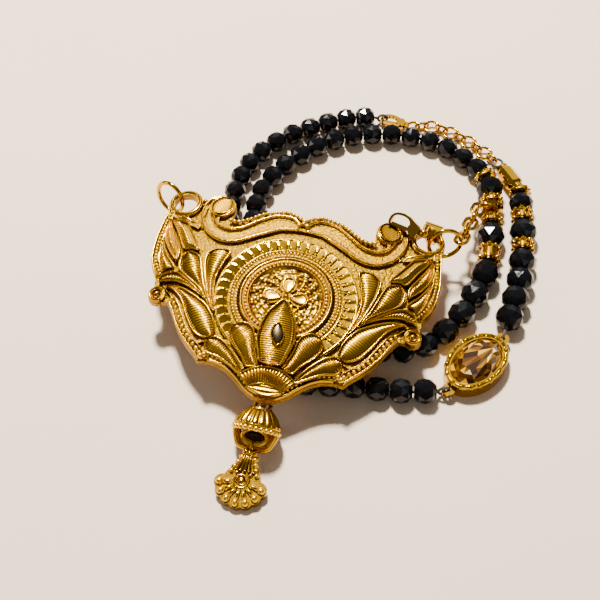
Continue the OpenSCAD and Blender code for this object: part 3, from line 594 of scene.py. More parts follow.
@dataclass(frozen=True)
class Leaf:
    """A raised leaf with a rim and hatched lines, ruled between its two sides.

    Its outline is in shares of half the plate's width and of its height, drawn in by share about its
    middle. Its ends are two of the outline's points, or else the two that lie farthest apart. Heights are
    in millimetres over the sheet, and dim lowers the tone inside the rim, which paints shade there.
    """

    shares: tuple[Pair, ...]
    floor: float = 0.84
    crown: float = 0.3
    rim: float = 1.42
    rim_width: float = 0.46
    rim_steps: tuple[float, ...] = (0, 0.06, 0.2, 0.42, 0.66, 0.86, 1.0)
    share: float = 0.975
    dim: float = 1.0
    pitch: float = 0.6
    cut: float = 0.2
    hatch: Hatch = Hatch.ACROSS
    slant: float = 1.6
    feather: float = 2.2
    vein: float = 0.0
    vein_share: float = 0.12
    ends: tuple[int, int] | None = None
    mirror: bool = True
    tuck: float = 0.3
    steps: int = 16
    lanes: int = 11
    fewest_rows: int = 48
    most_rows: int = 260
    rows_a_line: float = 5.5

    def sides(self) -> tuple[Array, Array]:
        """Parts the smooth outline at the leaf's ends.

        Returns:
            The two sides, both run from one end to the other.
        """
        loop = catmull(LIE.wing(self.shares), self.steps, closed=True)
        loop = loop.mean(0) + (loop - loop.mean(0)) * self.share
        if self.ends is None:
            far = np.linalg.norm(loop[:, None] - loop[None], axis=-1)
            i, j = sorted(np.unravel_index(np.argmax(far), far.shape))
        else:
            i, j = sorted(e * self.steps for e in self.ends)
        return loop[i : j + 1], np.concatenate([loop[j:], loop[: i + 1]])[::-1]

    def ruled(self) -> tuple[Array, Array, Array, Array, float]:
        """Lays the leaf's grid.

        A point is left + (right - left) * v, where left and right lie at the same share u of the two
        sides. Rows stand a little closer near the ends, and columns are those of a rim, the lanes
        between the rims, and the other rim.

        Returns:
            The grid of flat points, u of each row, w of each column (-1 to 1 between the rims), the rim's
            height at each column (0 to 1), and the leaf's length.
        """
        left, right = self.sides()
        length = 0.5 * (run_length(left)[-1] + run_length(right)[-1])
        rows = int(min(self.most_rows, max(self.fewest_rows, self.rows_a_line * length / self.pitch)))
        u = np.linspace(0, 1, rows)
        u = u + 0.06 * np.sin(-2 * np.pi * u) / np.pi
        a, b = resample(left, u), resample(right, u)
        half = np.linalg.norm(b - a, axis=1) / 2
        edge = np.array(self.rim_steps)
        inner = np.linspace(-1, 1, self.lanes + 2)[1:-1]
        rim = np.minimum(self.rim_width, 0.7 * half)
        near = edge[None] * rim[:, None]
        middle = half[:, None] + inner[None] * (half - rim)[:, None]
        across = np.concatenate([near, middle, 2 * half[:, None] - near[:, ::-1]], 1)
        v = across / np.maximum(2 * half, 1e-9)[:, None]
        flat = a[:, None] + (b - a)[:, None] * v[..., None]
        w = np.concatenate([-np.ones(len(edge)), inner, np.ones(len(edge))])
        profile = half_round(2 * edge - 1)
        return flat, u, w, np.concatenate([profile, np.zeros(len(inner)), profile[::-1]]), length

    def surface(self) -> tuple[Array, Array, Array]:
        """Works out the leaf.

        Its height is a half-round rim along either side and round either end, and inside it
        floor + crown * (1 - w * w) + cut * half the cosine of the line number + the vein, a bell curve of w.
        The tone paints light and shade: light on the rim and on the tops of the lines as painted highlight, and
        dark beside the rim as painted shade.

        Returns:
            The grid of flat points, their heights and their tones.
        """
        flat, u, w, rim_at, length = self.ruled()
        w, rim_at = w[None], rim_at[None]
        inside = (np.abs(w) < 1).astype(float)
        tip = np.minimum(u, 1 - u) * length / self.rim_width
        end_rim = (half_round(2 * np.clip(tip, 0, 1) - 1) * (tip < 1))[:, None]
        line = u[:, None] * length / self.pitch
        if self.hatch is Hatch.SLANTED:
            line = line + self.slant * w
        if self.hatch is Hatch.FEATHERED:
            line = line + self.feather * np.abs(w)
        lines = 0.5 + 0.5 * np.cos(2 * np.pi * line)
        fade = np.clip(tip - 0.8, 0, 1)[:, None] * inside
        body = self.floor + self.crown * (1 - w**2) * np.clip(tip[:, None] / 3, 0, 1)
        body = body + self.cut * (lines - 0.5) * fade
        body = body + self.vein * np.exp(-((w / self.vein_share) ** 2)) * fade
        rise = np.where(inside > 0, body, self.floor + (self.rim - self.floor) * rim_at)
        rise = np.maximum(rise, self.floor + (self.rim - self.floor) * end_rim)
        rise[:, 0] = rise[:, -1] = self.floor - self.tuck
        rise[0] = rise[-1] = self.floor - self.tuck
        # Painted highlight on rims and line tops, painted shade in the grooves beside the rims.
        tone = 0.2 + 0.6 * lines**1.2 * fade + 0.15 * (1 - w**2) * inside
        tone = np.maximum(tone, np.maximum(rim_at, end_rim) ** 2)
        tone = tone - 0.45 * inside * (np.abs(w) > 0.8) * (end_rim < 0.3)
        return flat, rise, np.clip(np.where(inside > 0, tone * self.dim, tone), 0, 1)

    def add_to(self, shell: Shell) -> None:
        """Adds the leaf, and its mirror image if it has one, turning the grid where it would face inward.

        Args:
            shell: the mesh that gets it.
        """
        flat, rise, tone = self.surface()
        for side in (1, -1) if self.mirror else (1,):
            at = flat * [side, 1]
            top = LIE.place(at, rise)
            under = LIE.place(at[:, [0, -1]], SUNK)
            along, over = at[-1, 0] - at[0, 0], at[len(at) // 2, -1] - at[len(at) // 2, 0]
            way = 1 if along[0] * over[1] - along[1] * over[0] >= 0 else -1
            shell.slab(top[:, ::way], under[:, ::way], tone[:, ::way])


@dataclass(frozen=True)
class Ridge:
    """A half-round ridge along a flat path on the sheet; slim is the share of it that thins at either end."""

    width: float = 0.6
    low: float = -0.1
    high: float = 0.95
    steps: int = 7
    tone: float = 0.95
    slim: float = 0.0
    foot: float = 0.15

    def add_to(self, shell: Shell, path: Array, closed: bool = False) -> None:
        """Carries the profile along the path: its height is low + (high - low) * square root of (1 - t * t).

        Args:
            shell: the mesh that gets it.
            path: flat points in the plate's plane.
            closed: whether the path's end joins its start.
        """
        if closed:
            way = np.roll(path, -1, 0) - np.roll(path, 1, 0)
        else:
            way = np.gradient(path, axis=0)
        way = way / np.maximum(np.linalg.norm(way, axis=1, keepdims=True), 1e-9)
        normal = np.stack([way[:, 1], -way[:, 0]], -1)
        t = -np.cos(np.linspace(0, np.pi, self.steps))
        u = np.linspace(0, 1, len(path))
        thick = np.ones(len(path))
        if self.slim > 0:
            thick = np.clip(np.minimum(u, 1 - u) / self.slim, 0.15, 1) ** 0.6
        flat = path[:, None] - normal[:, None] * (t[None, :, None] * thick[:, None, None] * self.width / 2)
        rise = self.low + (self.high - self.low) * half_round(t)[None]
        rise = self.low + (rise - self.low) * thick[:, None]
        if not closed:
            number = np.arange(len(path))
            taper = np.clip(np.minimum(number, number[::-1]) / 2.0, 0.0, 1)
            rise = self.low + (rise - self.low) * np.sqrt(taper)[:, None]
        # Painted shade: the tone falls from the crest to the ridge's flanks and feet.
        tone = np.broadcast_to(self.tone * (1 - 0.75 * np.abs(t) ** 3)[None], rise.shape)
        under = LIE.place(flat[:, [0, -1]], self.low - self.foot)
        shell.slab(LIE.place(flat, rise), under, tone, closed)


def balls(shell: Shell, places: Array, axes: Array, tone: float = 1.0, sides: int = 8, rings: int = 4) -> None:
    """Adds ellipsoids: each point is the centre plus the unit sphere's point times the ellipsoid's half axes.

    Args:
        shell: the mesh that gets them.
        places: the middles in millimetres.
        axes: three half axes for each, as rows; they are right-handed.
        tone: their tone.
        sides: points round the ball.
        rings: rings of points between its poles.
    """
    lat = np.linspace(-np.pi / 2, np.pi / 2, rings + 2)[1:-1]
    lon = np.linspace(0, 2 * np.pi, sides, endpoint=False)
    way = np.stack([np.cos(lat)[:, None] * np.cos(lon)[None], np.cos(lat)[:, None] * np.sin(lon)[None],
                    np.broadcast_to(np.sin(lat)[:, None], (rings, sides))], -1)
    body = places[:, None, None] + np.einsum("rsk,nkj->nrsj", way, axes)
    poles = places[:, None] + np.stack([-axes[:, 2], axes[:, 2]], 1)
    n, ends = shell.put(body, tone), shell.put(poles, tone)
    after = np.roll(n, -1, axis=2)
    shell.quads(n[:, :-1], after[:, :-1], after[:, 1:], n[:, 1:])
    south = np.stack([after[:, 0], n[:, 0], np.broadcast_to(ends[:, :1], n[:, 0].shape)], -1)
    north = np.stack([n[:, -1], after[:, -1], np.broadcast_to(ends[:, 1:], n[:, -1].shape)], -1)
    shell.faces.extend(south.reshape(-1, 3).tolist())
    shell.faces.extend(north.reshape(-1, 3).tolist())


def grains(shell: Shell, places: Array, radii: Any, sides: int = 8, rings: int = 4) -> None:
    """Adds small round balls of one radius, or of one each."""
    radii = np.broadcast_to(np.asarray(radii, float), (len(places),))
    balls(shell, places, radii[:, None, None] * np.eye(3)[None], 1.0, sides, rings)


def swept(shell: Shell, path: Array, wide: Any, high: Any, up: Array, tone: float, sides: int,
          closed: bool = False) -> None:
    """Adds a bar with an oval section: each point is the path's, plus a share of each of the section's axes.

    Args:
        shell: the mesh that gets it.
        path: the path's points in millimetres.
        wide: half width, one or one for each point.
        high: half height along up, one or one for each point.
        up: direction of the section's height, about square to the path.
        tone: its tone.
        sides: points round the section.
        closed: whether the path's end joins its start.
    """
    way = np.roll(path, -1, 0) - np.roll(path, 1, 0) if closed else np.gradient(path, axis=0)
    way /= np.linalg.norm(way, axis=1, keepdims=True)
    side = np.cross(way, up)
    side /= np.linalg.norm(side, axis=1, keepdims=True)
    rise = np.cross(side, way)
    a = np.linspace(0, 2 * np.pi, sides, endpoint=False)
    wide, high = (np.broadcast_to(np.asarray(v, float), (len(path),))[:, None, None] for v in (wide, high))
    across = wide * np.cos(a)[None, :, None] * side[:, None]
    over = high * np.sin(a)[None, :, None] * rise[:, None]
    n = shell.put(path[:, None] + across + over, tone)
    shell.web(n[:, ::-1], wrap_u=closed, wrap_v=True)
    if not closed:
        shell.faces.append(n[0].tolist())
        shell.faces.append(n[-1][::-1].tolist())


def pad(shell: Shell, middle: Array, outline: Array, shares: Array, rises: Array, tones: Array) -> None:
    """Adds a closed pad on the sheet: each row is the outline shrunk towards the middle by a share.

    Args:
        shell: the mesh that gets it.
        middle: the point that the outline shrinks to.
        outline: closed flat path, run anticlockwise.
        shares: growing shares, the last one 1.
        rises: height of each row; the last goes into the sheet instead.
        tones: tone of each row.
    """
    flat = middle + (outline - middle)[None] * shares[:, None, None]
    rises = np.append(rises[:-1], SUNK)
    rise, tone = (np.broadcast_to(v[:, None], flat.shape[:2]) for v in (rises, tones))
    n = shell.put(LIE.place(flat, rise), tone)
    shell.web(n, wrap_v=True)
    shell.faces.append(n[0].tolist())
    shell.faces.append(n[-1][::-1].tolist())


# Plate


@dataclass(frozen=True)
class Ring:
    """A half-round ring: its middle's radius, its half width and its height over the sheet."""

    radius: float
    half: float
    high: float


@dataclass(frozen=True)
class GrainRing:
    """A ring of small balls: its radius, the balls' pitch and radius, and their middles' height."""

    radius: float
    pitch: float
    size: float
    rise: float


@dataclass(frozen=True)
class WireLoop:
    """A loop of the wire flower: the way it points in degrees and its half width."""

    turn: float
    wide: float


@dataclass
class Medallion:
    """The round field: wire flower, granulated rings and forty polished rays."""

    radius: float = 13.85
    rays: int = 40
    around: int = 720
    field: float = 7.1
    ledge: float = 9.1
    ray_start: float = 11.12
    ray_end: float = 13.25
    ray_length: float = 2.13
    rings: tuple[Ring, ...] = (Ring(8.6, 0.44, 1.5), Ring(7.1, 0.22, 1.25), Ring(10.86, 0.26, 0.95),
                               Ring(13.5, 0.36, 1.0))
    grain_rings: tuple[GrainRing, ...] = (GrainRing(10.22, 0.68, 0.31, 0.72), GrainRing(9.5, 0.68, 0.31, 0.72),
                                          GrainRing(7.7, 0.78, 0.36, 1.34))
    loops: tuple[WireLoop, ...] = (WireLoop(90, 1.2), WireLoop(0, 1.25), WireLoop(180, 1.25))
    loop_middle: float = 2.6
    loop_half: float = 1.62
    dish_middle: float = 2.55
    scattered: int = 120
    golden_turn: float = 2.39996
    seed: int = 5

    def ground(self, r: Array, a: Array) -> tuple[Array, Array]:
        """The uneven ground inside the rings, a sum of waves of radius and angle, and the ledge round it.

        Args:
            r: radius of each point.
            a: angle of each point.

        Returns:
            The heights over the sheet and the tones.
        """
        wave = np.sin(9 * a + 2.1 * r) * np.cos(5 * a - 3.4 * r) + 0.6 * np.sin(17 * a - 1.7 * r)
        inside = r < self.field
        rise = np.where((r > self.field) & (r < self.ledge), 1.2, 0.42)
        rise = np.where(inside, 0.55 + 0.13 * wave * np.clip(r / 3, 0, 1), rise)
        # Painted light and shade: the ground's tone rises and falls with its height, and the rest is dark as
        # painted shade between the rings.
        return rise, np.where(inside, 0.36 + 0.32 * wave, 0.08)

    def rayed(self, r: Array, a: Array) -> tuple[Array, Array]:
        """The rays: flat facets that tip down from one ridge to the next, each with a pit at its inner end.

        Args:
            r: radius of each point.
            a: angle of each point.

        Returns:
            The heights over the sheet and the tones, which hold only between the rays' two radii.
        """
        share = a * self.rays / (2 * np.pi)
        share = share - np.floor(share)
        along = np.clip((r - self.ray_start) / self.ray_length, 0, 1)
        off = np.abs(share - 0.5) * 2
        edge = 0.42 + 0.34 * np.sin(np.pi * np.clip(along * 0.62 + 0.1, 0, 1))
        facet = 0.6 + 0.3 * along - 0.5 * (share - 0.5)
        pit = (along < 0.36) & (off > 0.5 + 0.9 * along)
        rise = np.where(pit, 0.0, np.where(off < edge, facet, 1.02))
        # Painted shade: the pits are darkest, and the facets are darker than the ridges between them.
        return rise, np.where(pit, 0.0, np.where(off < edge, 0.62, 1.0))

    def relief(self, r: Array, a: Array) -> tuple[Array, Array]:
        """The whole round field: the ground, the half-round rings that stand over it, and the rays.

        Args:
            r: radius of each point.
            a: angle of each point.

        Returns:
            The heights over the sheet and the tones.
        """
        rise, tone = self.ground(r, a)
        for ring in self.rings:
            high = ring.high * half_round((r - ring.radius) / ring.half)
            # Painted shade: a ring's tone falls from its crest to its feet.
            tone = np.where(high > rise, 0.1 + 0.85 * (high / ring.high) ** 4, tone)
            rise = np.maximum(rise, high)
        in_rays = (r > self.ray_start) & (r < self.ray_end)
        ray_rise, ray_tone = self.rayed(r, a)
        return np.where(in_rays, ray_rise, rise), np.where(in_rays, ray_tone, tone)

    def build(self, finish: bpy.types.Material, granule: bpy.types.Material) -> None:
        """Builds the round field on a grid of angle and radius, then its granules and flower.

        Args:
            finish: material of the field and the flower.
            granule: material of the granules.
        """
        shell = Shell()
        # Rows stand closer over the rings than over the ground inside them
        radii = np.concatenate([np.arange(0.15, 7.2, 0.22), np.arange(7.22, 11.1, 0.12),
                                np.arange(11.14, 13.3, 0.16), np.linspace(13.3, self.radius, 6)])
        angles = np.linspace(0, 2 * np.pi, self.around, endpoint=False)
        r, a = np.meshgrid(radii, angles, indexing="ij")
        rise, tone = self.relief(r, a)
        rise[-1] = SUNK
        n = shell.put(LIE.place(np.stack([r * np.cos(a), r * np.sin(a)], -1), rise), tone)
        shell.web(n, wrap_v=True)
        hub = shell.put(rise_over(np.zeros((1, 2)), 0.6), 0.6)
        foot = shell.put(rise_over(np.zeros((1, 2)), -0.3), shell.buried_tone)
        first, last = n[0], n[-1]
        shell.faces.extend(np.stack([first, np.roll(first, -1), np.full_like(first, hub[0])], -1).tolist())
        shell.faces.extend(np.stack([np.roll(last, -1), last, np.full_like(last, foot[0])], -1).tolist())
        shell.piece("medallion", finish, "antique_gold")
        self.granules(granule)
        self.flower(finish)

    def granules(self, finish: bpy.types.Material) -> None:
        """Rings of small balls, and a scatter of them round the flower, each a golden turn from the last.

        Args:
            finish: their material.
        """
        shell = Shell()
        for row in self.grain_rings:
            count = round(2 * np.pi * row.radius / row.pitch)
            a = np.linspace(0, 2 * np.pi, count, endpoint=False)
            ring = row.radius * np.stack([np.cos(a), np.sin(a)], -1)
            grains(shell, rise_over(ring, row.rise), row.size, sides=7, rings=3)
        draw = np.random.default_rng(self.seed)
        number = np.arange(self.scattered)
        turn = number * self.golden_turn
        radius = 2.2 + 4.4 * np.sqrt(number / self.scattered)
        spots = radius[:, None] * np.stack([np.cos(turn), np.sin(turn)], -1)
        spots += draw.normal(0, 0.1, spots.shape)
        grains(shell, rise_over(spots, 0.68), draw.uniform(0.17, 0.36, len(spots)), sides=7, rings=3)
        shell.piece("medallion_granules", finish, "antique_gold")

    def flower(self, finish: bpy.types.Material) -> None:
        """Three wire loops: each is an oval, narrow at the flower's middle, with a dished inside, and a hub.

        Args:
            finish: their material.
        """
        shell = Shell()
        a = np.linspace(0, 2 * np.pi, 48, endpoint=False)
        for one in self.loops:
            along = self.loop_middle + self.loop_half * np.cos(a)
            across = one.wide * np.sin(a) * (0.72 + 0.28 * np.cos(a)) * 1.1
            loop = np.stack(spun(along, across, one.turn), -1)
            Ridge(width=0.62, low=0.5, high=1.6).add_to(shell, loop, closed=True)
            way = math.radians(one.turn)
            middle = self.dish_middle * np.array([math.cos(way), math.sin(way)])
            share = np.linspace(0.03, 1, 7)
            # Painted shade: the dish darkens towards its wire.
            pad(shell, middle, loop, share, 1.2 + 0.12 * share**2, 0.75 - 0.3 * share)
        grains(shell, rise_over(np.zeros((1, 2)), 1.25), 0.6, sides=14, rings=8)
        shell.piece("medallion_flower", finish, "antique_gold")


# The right wing's leaves, and the lotus's petals from the outer ones to the middle one
LEAVES = (
    Leaf(((0.603, 0.180), (0.540, 0.212), (0.440, 0.212), (0.462, 0.148), (0.485, 0.083), (0.490, 0.029),
          (0.482, -0.022), (0.462, -0.072), (0.442, -0.128), (0.470, -0.122), (0.512, -0.071), (0.548, -0.007),
          (0.579, 0.054), (0.602, 0.117)), ends=(1, 8), hatch=Hatch.SLANTED, pitch=0.56),
    Leaf(((0.778, 0.113), (0.770, 0.152), (0.735, 0.178), (0.682, 0.180), (0.635, 0.158), (0.606, 0.106),
          (0.568, 0.029), (0.518, -0.068), (0.572, -0.030), (0.638, 0.006), (0.703, 0.037), (0.758, 0.068)),
         ends=(2, 7)),
    Leaf(((0.882, -0.005), (0.871, 0.035), (0.827, 0.058), (0.774, 0.060), (0.720, 0.043), (0.663, 0.015),
          (0.597, -0.021), (0.535, -0.060), (0.505, -0.089), (0.553, -0.062), (0.615, -0.036), (0.676, -0.016),
          (0.741, -0.003), (0.803, 0.0)), ends=(0, 8), floor=0.95, rim=1.55),
    Leaf(((0.823, -0.022), (0.766, -0.014), (0.704, -0.020), (0.636, -0.040), (0.568, -0.065), (0.505, -0.095),
          (0.468, -0.126), (0.438, -0.155), (0.412, -0.205), (0.415, -0.250), (0.467, -0.272), (0.549, -0.247),
          (0.628, -0.171), (0.686, -0.095), (0.739, -0.056), (0.795, -0.030)),
         crown=0.34, rim=1.45, hatch=Hatch.SLANTED, pitch=0.56, ends=(0, 9)),
    Leaf(((0.925, 0.372), (0.802, 0.352), (0.772, 0.330), (0.655, 0.196), (0.723, 0.190), (0.775, 0.188),
          (0.843, 0.270)), hatch=Hatch.FEATHERED, ends=(0, 3), vein=0.2),
    Leaf(((0.932, 0.372), (0.893, 0.318), (0.835, 0.240), (0.788, 0.180), (0.783, 0.146), (0.796, 0.120),
          (0.846, 0.149), (0.895, 0.193), (0.930, 0.236), (0.942, 0.282), (0.940, 0.330)),
         hatch=Hatch.FEATHERED, ends=(0, 5), vein=0.3),
    Leaf(((0.937, 0.238), (0.905, 0.198), (0.862, 0.146), (0.815, 0.108), (0.795, 0.078), (0.842, 0.066),
          (0.875, 0.045), (0.912, 0.090), (0.935, 0.155), (0.945, 0.205)), ends=(0, 4), hatch=Hatch.SLANTED),
)
LOTUS = (
    Leaf(((0.460, -0.300), (0.445, -0.272), (0.396, -0.249), (0.333, -0.265), (0.258, -0.312), (0.200, -0.362),
          (0.165, -0.405), (0.185, -0.418), (0.240, -0.395), (0.340, -0.356), (0.440, -0.338)),
         floor=0.95, crown=0.25, rim=1.5, pitch=0.46, ends=(1, 6)),
    Leaf(((0.318, -0.222), (0.295, -0.186), (0.225, -0.160), (0.166, -0.178), (0.143, -0.205), (0.122, -0.270),
          (0.090, -0.330), (0.078, -0.365), (0.150, -0.382), (0.203, -0.337), (0.288, -0.276)),
         floor=1.2, crown=0.28, rim=1.8, pitch=0.46, ends=(1, 7)),
    Leaf(((0, -0.020), (0.052, -0.050), (0.100, -0.105), (0.124, -0.165), (0.130, -0.235), (0.102, -0.305),
          (0.066, -0.356), (-0.066, -0.356), (-0.102, -0.305), (-0.130, -0.235), (-0.124, -0.165),
          (-0.100, -0.105), (-0.052, -0.050)),
         floor=1.7, crown=0.28, rim=2.35, rim_width=0.5, pitch=0.46, mirror=False),
)


@dataclass
class Carving:
    """Everything else that stands up from the plate: leaves, lotus, scroll bands, borders and curls.

    Its curves are in shares of half the plate's width and of its height, on the plate's right side.
    """

    top_shares: tuple[Pair, ...] = (
        (0, 0.454), (0.06, 0.476), (0.137, 0.489), (0.28, 0.462), (0.38, 0.416), (0.46, 0.394), (0.505, 0.40))
    wing_shares: tuple[Pair, ...] = (
        (0.97, 0.45), (0.991, 0.33), (1.0, 0.23), (0.987, 0.13), (0.952, 0.07), (0.915, 0.03))
    low_shares: tuple[Pair, ...] = (
        (0.785, -0.098), (0.743, -0.14), (0.69, -0.206), (0.638, -0.258), (0.575, -0.306), (0.512, -0.347),
        (0.486, -0.371))
    lobe_shares: tuple[Pair, ...] = (
        (0.42, -0.367), (0.35, -0.375), (0.28, -0.396), (0.21, -0.432), (0.14, -0.474), (0.07, -0.501),
        (0, -0.51))
    band_top: tuple[Pair, ...] = (
        (0.01, 0.415), (0.07, 0.455), (0.14, 0.464), (0.21, 0.456), (0.28, 0.43), (0.35, 0.395), (0.42, 0.36),
        (0.49, 0.345), (0.56, 0.352), (0.605, 0.376), (0.645, 0.425), (0.66, 0.47), (0.645, 0.515),
        (0.61, 0.535))
    band_low: tuple[Pair, ...] = (
        (0, 0.395), (0.14, 0.385), (0.21, 0.36), (0.28, 0.335), (0.35, 0.306), (0.42, 0.28), (0.49, 0.27),
        (0.56, 0.277), (0.63, 0.305), (0.68, 0.345), (0.715, 0.40), (0.722, 0.45), (0.695, 0.51),
        (0.622, 0.542))
    head_shares: tuple[Pair, ...] = (
        (0.69, 0.50), (0.625, 0.535), (0.545, 0.522), (0.512, 0.478), (0.545, 0.425), (0.605, 0.413),
        (0.648, 0.44))
    brow_shares: tuple[Pair, ...] = (
        (0.978, 0.434), (0.925, 0.408), (0.866, 0.387), (0.793, 0.369), (0.736, 0.352), (0.681, 0.326))
    volute_share: Pair = (0.593, 0.476)
    eye_share: Pair = (0.862, 0.477)
    hook_share: Pair = (0.868, -0.066)
    band_foot: float = -0.25
    fan_flutes: int = 18
    marquise_middle: tuple[float, float] = (0.2, -8.5)
    marquise_lean: float = 0.3

    def leaves(self, finish: bpy.types.Material) -> None:
        """The wings' leaves in one mesh and the lotus in another.

        Args:
            finish: their material.
        """
        for name, group in (("wing_leaves", LEAVES), ("lotus_petals", LOTUS)):
            shell = Shell()
            for leaf in group:
                leaf.add_to(shell)
            shell.piece(name, finish, "antique_gold")

    def borders(self, finish: bpy.types.Material, granule: bpy.types.Material) -> None:
        """Rims and granule rows along the outline, a set distance in from it.

        Args:
            finish: material of the rims.
            granule: material of the granules.
        """
        rims, dots = Shell(), Shell()
        for shares, rows in (
            (self.low_shares, ((0.3, 0.5, 0.75), (1.74, 0.4, 0.8))),
            (self.lobe_shares, ((0.3, 0.5, 0.75), (1.66, 0.4, 0.8))),
            (self.wing_shares, ((0.32, 0.5, 0.9), (1.6, 0.36, 0.85))),
        ):
            edge = catmull(LIE.wing(shares), 10)
            for distance, width, high in rows:
                for path in both_sides(inset(edge, distance)):
                    Ridge(width=width, high=high).add_to(rims, path)
        for shares, distance, pitch, size, rise in (
            (self.top_shares, 0.22, 0.84, 0.45, 0.82),
            (self.low_shares, 1.06, 0.98, 0.42, 0.7),
            (self.lobe_shares, 1.04, 0.86, 0.37, 0.7),
            (self.wing_shares, 1.04, 0.74, 0.31, 0.75),
        ):
            edge = catmull(LIE.wing(shares), 10)
            for path in both_sides(pitched(inset(edge, distance), pitch)):
                grains(dots, rise_over(path, rise), size)
        knots = LIE.wing([(0.465, -0.352), (0.44, -0.342), (0.0, 0.43), (0.028, 0.418), (-0.028, 0.418)])
        knots = np.vstack([knots, knots[:2] * [-1, 1]])
        grains(dots, rise_over(knots, 0.9), 0.55, sides=12, rings=6)
        rims.piece("plate_rims", finish, "antique_gold")
        dots.piece("plate_granules", granule, "antique_gold")

    def scrolls(self, finish: bpy.types.Material, frosted: bpy.types.Material) -> None:
        """The concave scroll bands between their two rims.

        The height is 0.12 + 0.4 * t * t with a slight ripple, where t runs across from -1 to 1.

        Args:
            finish: material of the rims.
            frosted: material of the bands.
        """
        rims, bands = Shell(), Shell()
        top, low = (catmull(LIE.wing(s), 8) for s in (self.band_top, self.band_low))
        u = np.linspace(0, 1, 90)
        a, b = resample(low, u), resample(top, u)
        t = np.linspace(-1, 1, 15)
        flat = a[:, None] + (b - a)[:, None] * ((t + 1) / 2)[None, :, None]
        rise = 0.12 + 0.4 * t[None] ** 2 + 0.05 * np.cos(9 * t)[None] * (1 - t[None] ** 2)
        rise = np.broadcast_to(rise, flat.shape[:2])
        for side in (1, -1):
            at = flat * [side, 1]
            places, under = LIE.place(at, rise), LIE.place(at[:, [0, -1]], self.band_foot)
            bands.slab(places[:, ::side], under[:, ::side], 0.55)
        for path in (top, low):
            for one in both_sides(path):
                Ridge(width=0.62, high=0.98).add_to(rims, one)
        bands.piece("scroll_bands", frosted, "antique_gold")
        rims.piece("scroll_rims", finish, "antique_gold")

    def curls(self, finish: bpy.types.Material) -> None:
        """Volutes, eyes, hooks and brows, each a ridge along an arc or a curve, small balls, and the fan.

        Args:
            finish: their material.
        """
        shell = Shell()
        volute, eye, hook = LIE.wing([self.volute_share, self.eye_share, self.hook_share])
        strokes = (
            (Ridge(width=0.55, high=1.1), catmull(LIE.wing(self.head_shares), 8), False),
            (Ridge(width=1.12, low=0.0, high=1.08, steps=11), arc(eye, 2.93, 0, 360, 64)[:-1], True),
            (Ridge(width=0.8, high=1.1), arc(hook, 1.35, 150, -150, 30), False),
            (Ridge(width=1.35, high=1.3, slim=0.45), catmull(LIE.wing(self.brow_shares), 8), False),
        )
        between = (volute + eye) / 2
        for side in (1, -1):
            flip = np.array([side, 1])
            for ridge, path, closed in strokes:
                ridge.add_to(shell, path[::side] * flip, closed=closed)
            grains(shell, rise_over(np.array([hook * flip]), 0.35), 0.8, sides=20, rings=10)
            spots = np.array([between + [0.1, 1.1], between + [0.15, -0.1]]) * flip
            grains(shell, rise_over(spots, 0.35), 0.5, sides=14, rings=8)
        # The volute head's inside is dimmed to half its tone: painted shade.
        head = arc(volute, 2.25, 120, 480, 10)[:-1] / LIE.wing([(1, 1)])
        Leaf(tuple((float(x), float(y)) for x, y in head), floor=0.95, crown=-0.12, rim=1.35, rim_width=0.42,
             pitch=0.55, cut=0.3, dim=0.5, hatch=Hatch.SLANTED, ends=(0, 5), share=1.0).add_to(shell)
        self.fan(shell)
        shell.piece("plate_curls", finish, "antique_gold")

    def fan(self, shell: Shell) -> None:
        """The fluted arch under the lotus and the pointed lens below it, both ruled between two parabolas.

        The arch's height rises and falls with the flute's number, and the lens is dished beside its middle.

        Args:
            shell: the mesh that gets them.
        """
        u = np.linspace(-1, 1, 150)
        top = np.stack([5.35 * u, -14.75 - 2.35 * u**2], -1)
        low = np.stack([3.15 * u, -18.1 - 0.95 * u**2], -1)
        v = np.linspace(0, 1, 13)
        flat = low[:, None] + (top - low)[:, None] * v[None, :, None]
        flute = np.abs(np.sin(u * np.pi * self.fan_flutes / 2))[:, None]
        bow = np.sin(np.pi * np.clip(v, 0.03, 0.97))[None] ** 0.5
        rise = 1.2 + 0.34 * flute * bow
        # Painted light and shade: flute crests light, the grooves between them dark.
        tone = np.clip(0.12 + 0.75 * flute**1.5 * np.ones_like(bow), 0, 1)
        shell.slab(LIE.place(flat, rise), LIE.place(flat[:, [0, -1]], SUNK), tone)
        under = np.stack([3.3 * u, -20.25 + 1.2 * u**2], -1)
        ceiling = np.stack([3.3 * u, -18.35 - 0.7 * u**2], -1)
        w = np.linspace(-1, 1, 11)
        flat = under[:, None] + (ceiling - under)[:, None] * ((w + 1) / 2)[None, :, None]
        dish = np.cos(w * np.pi)[None] ** 2
        rise = 1.22 + 0.14 * dish + np.zeros((len(u), 1))
        # Painted shade in the lens's dished hollows, lighter where it stands higher.
        shell.slab(LIE.place(flat, rise), LIE.place(flat[:, [0, -1]], SUNK), 0.5 + 0.3 * dish)
        for path, width, high in ((top, 0.62, 1.75), (low, 0.6, 1.7), (under, 0.5, 1.55)):
            Ridge(width=width, high=high).add_to(shell, path[::3])

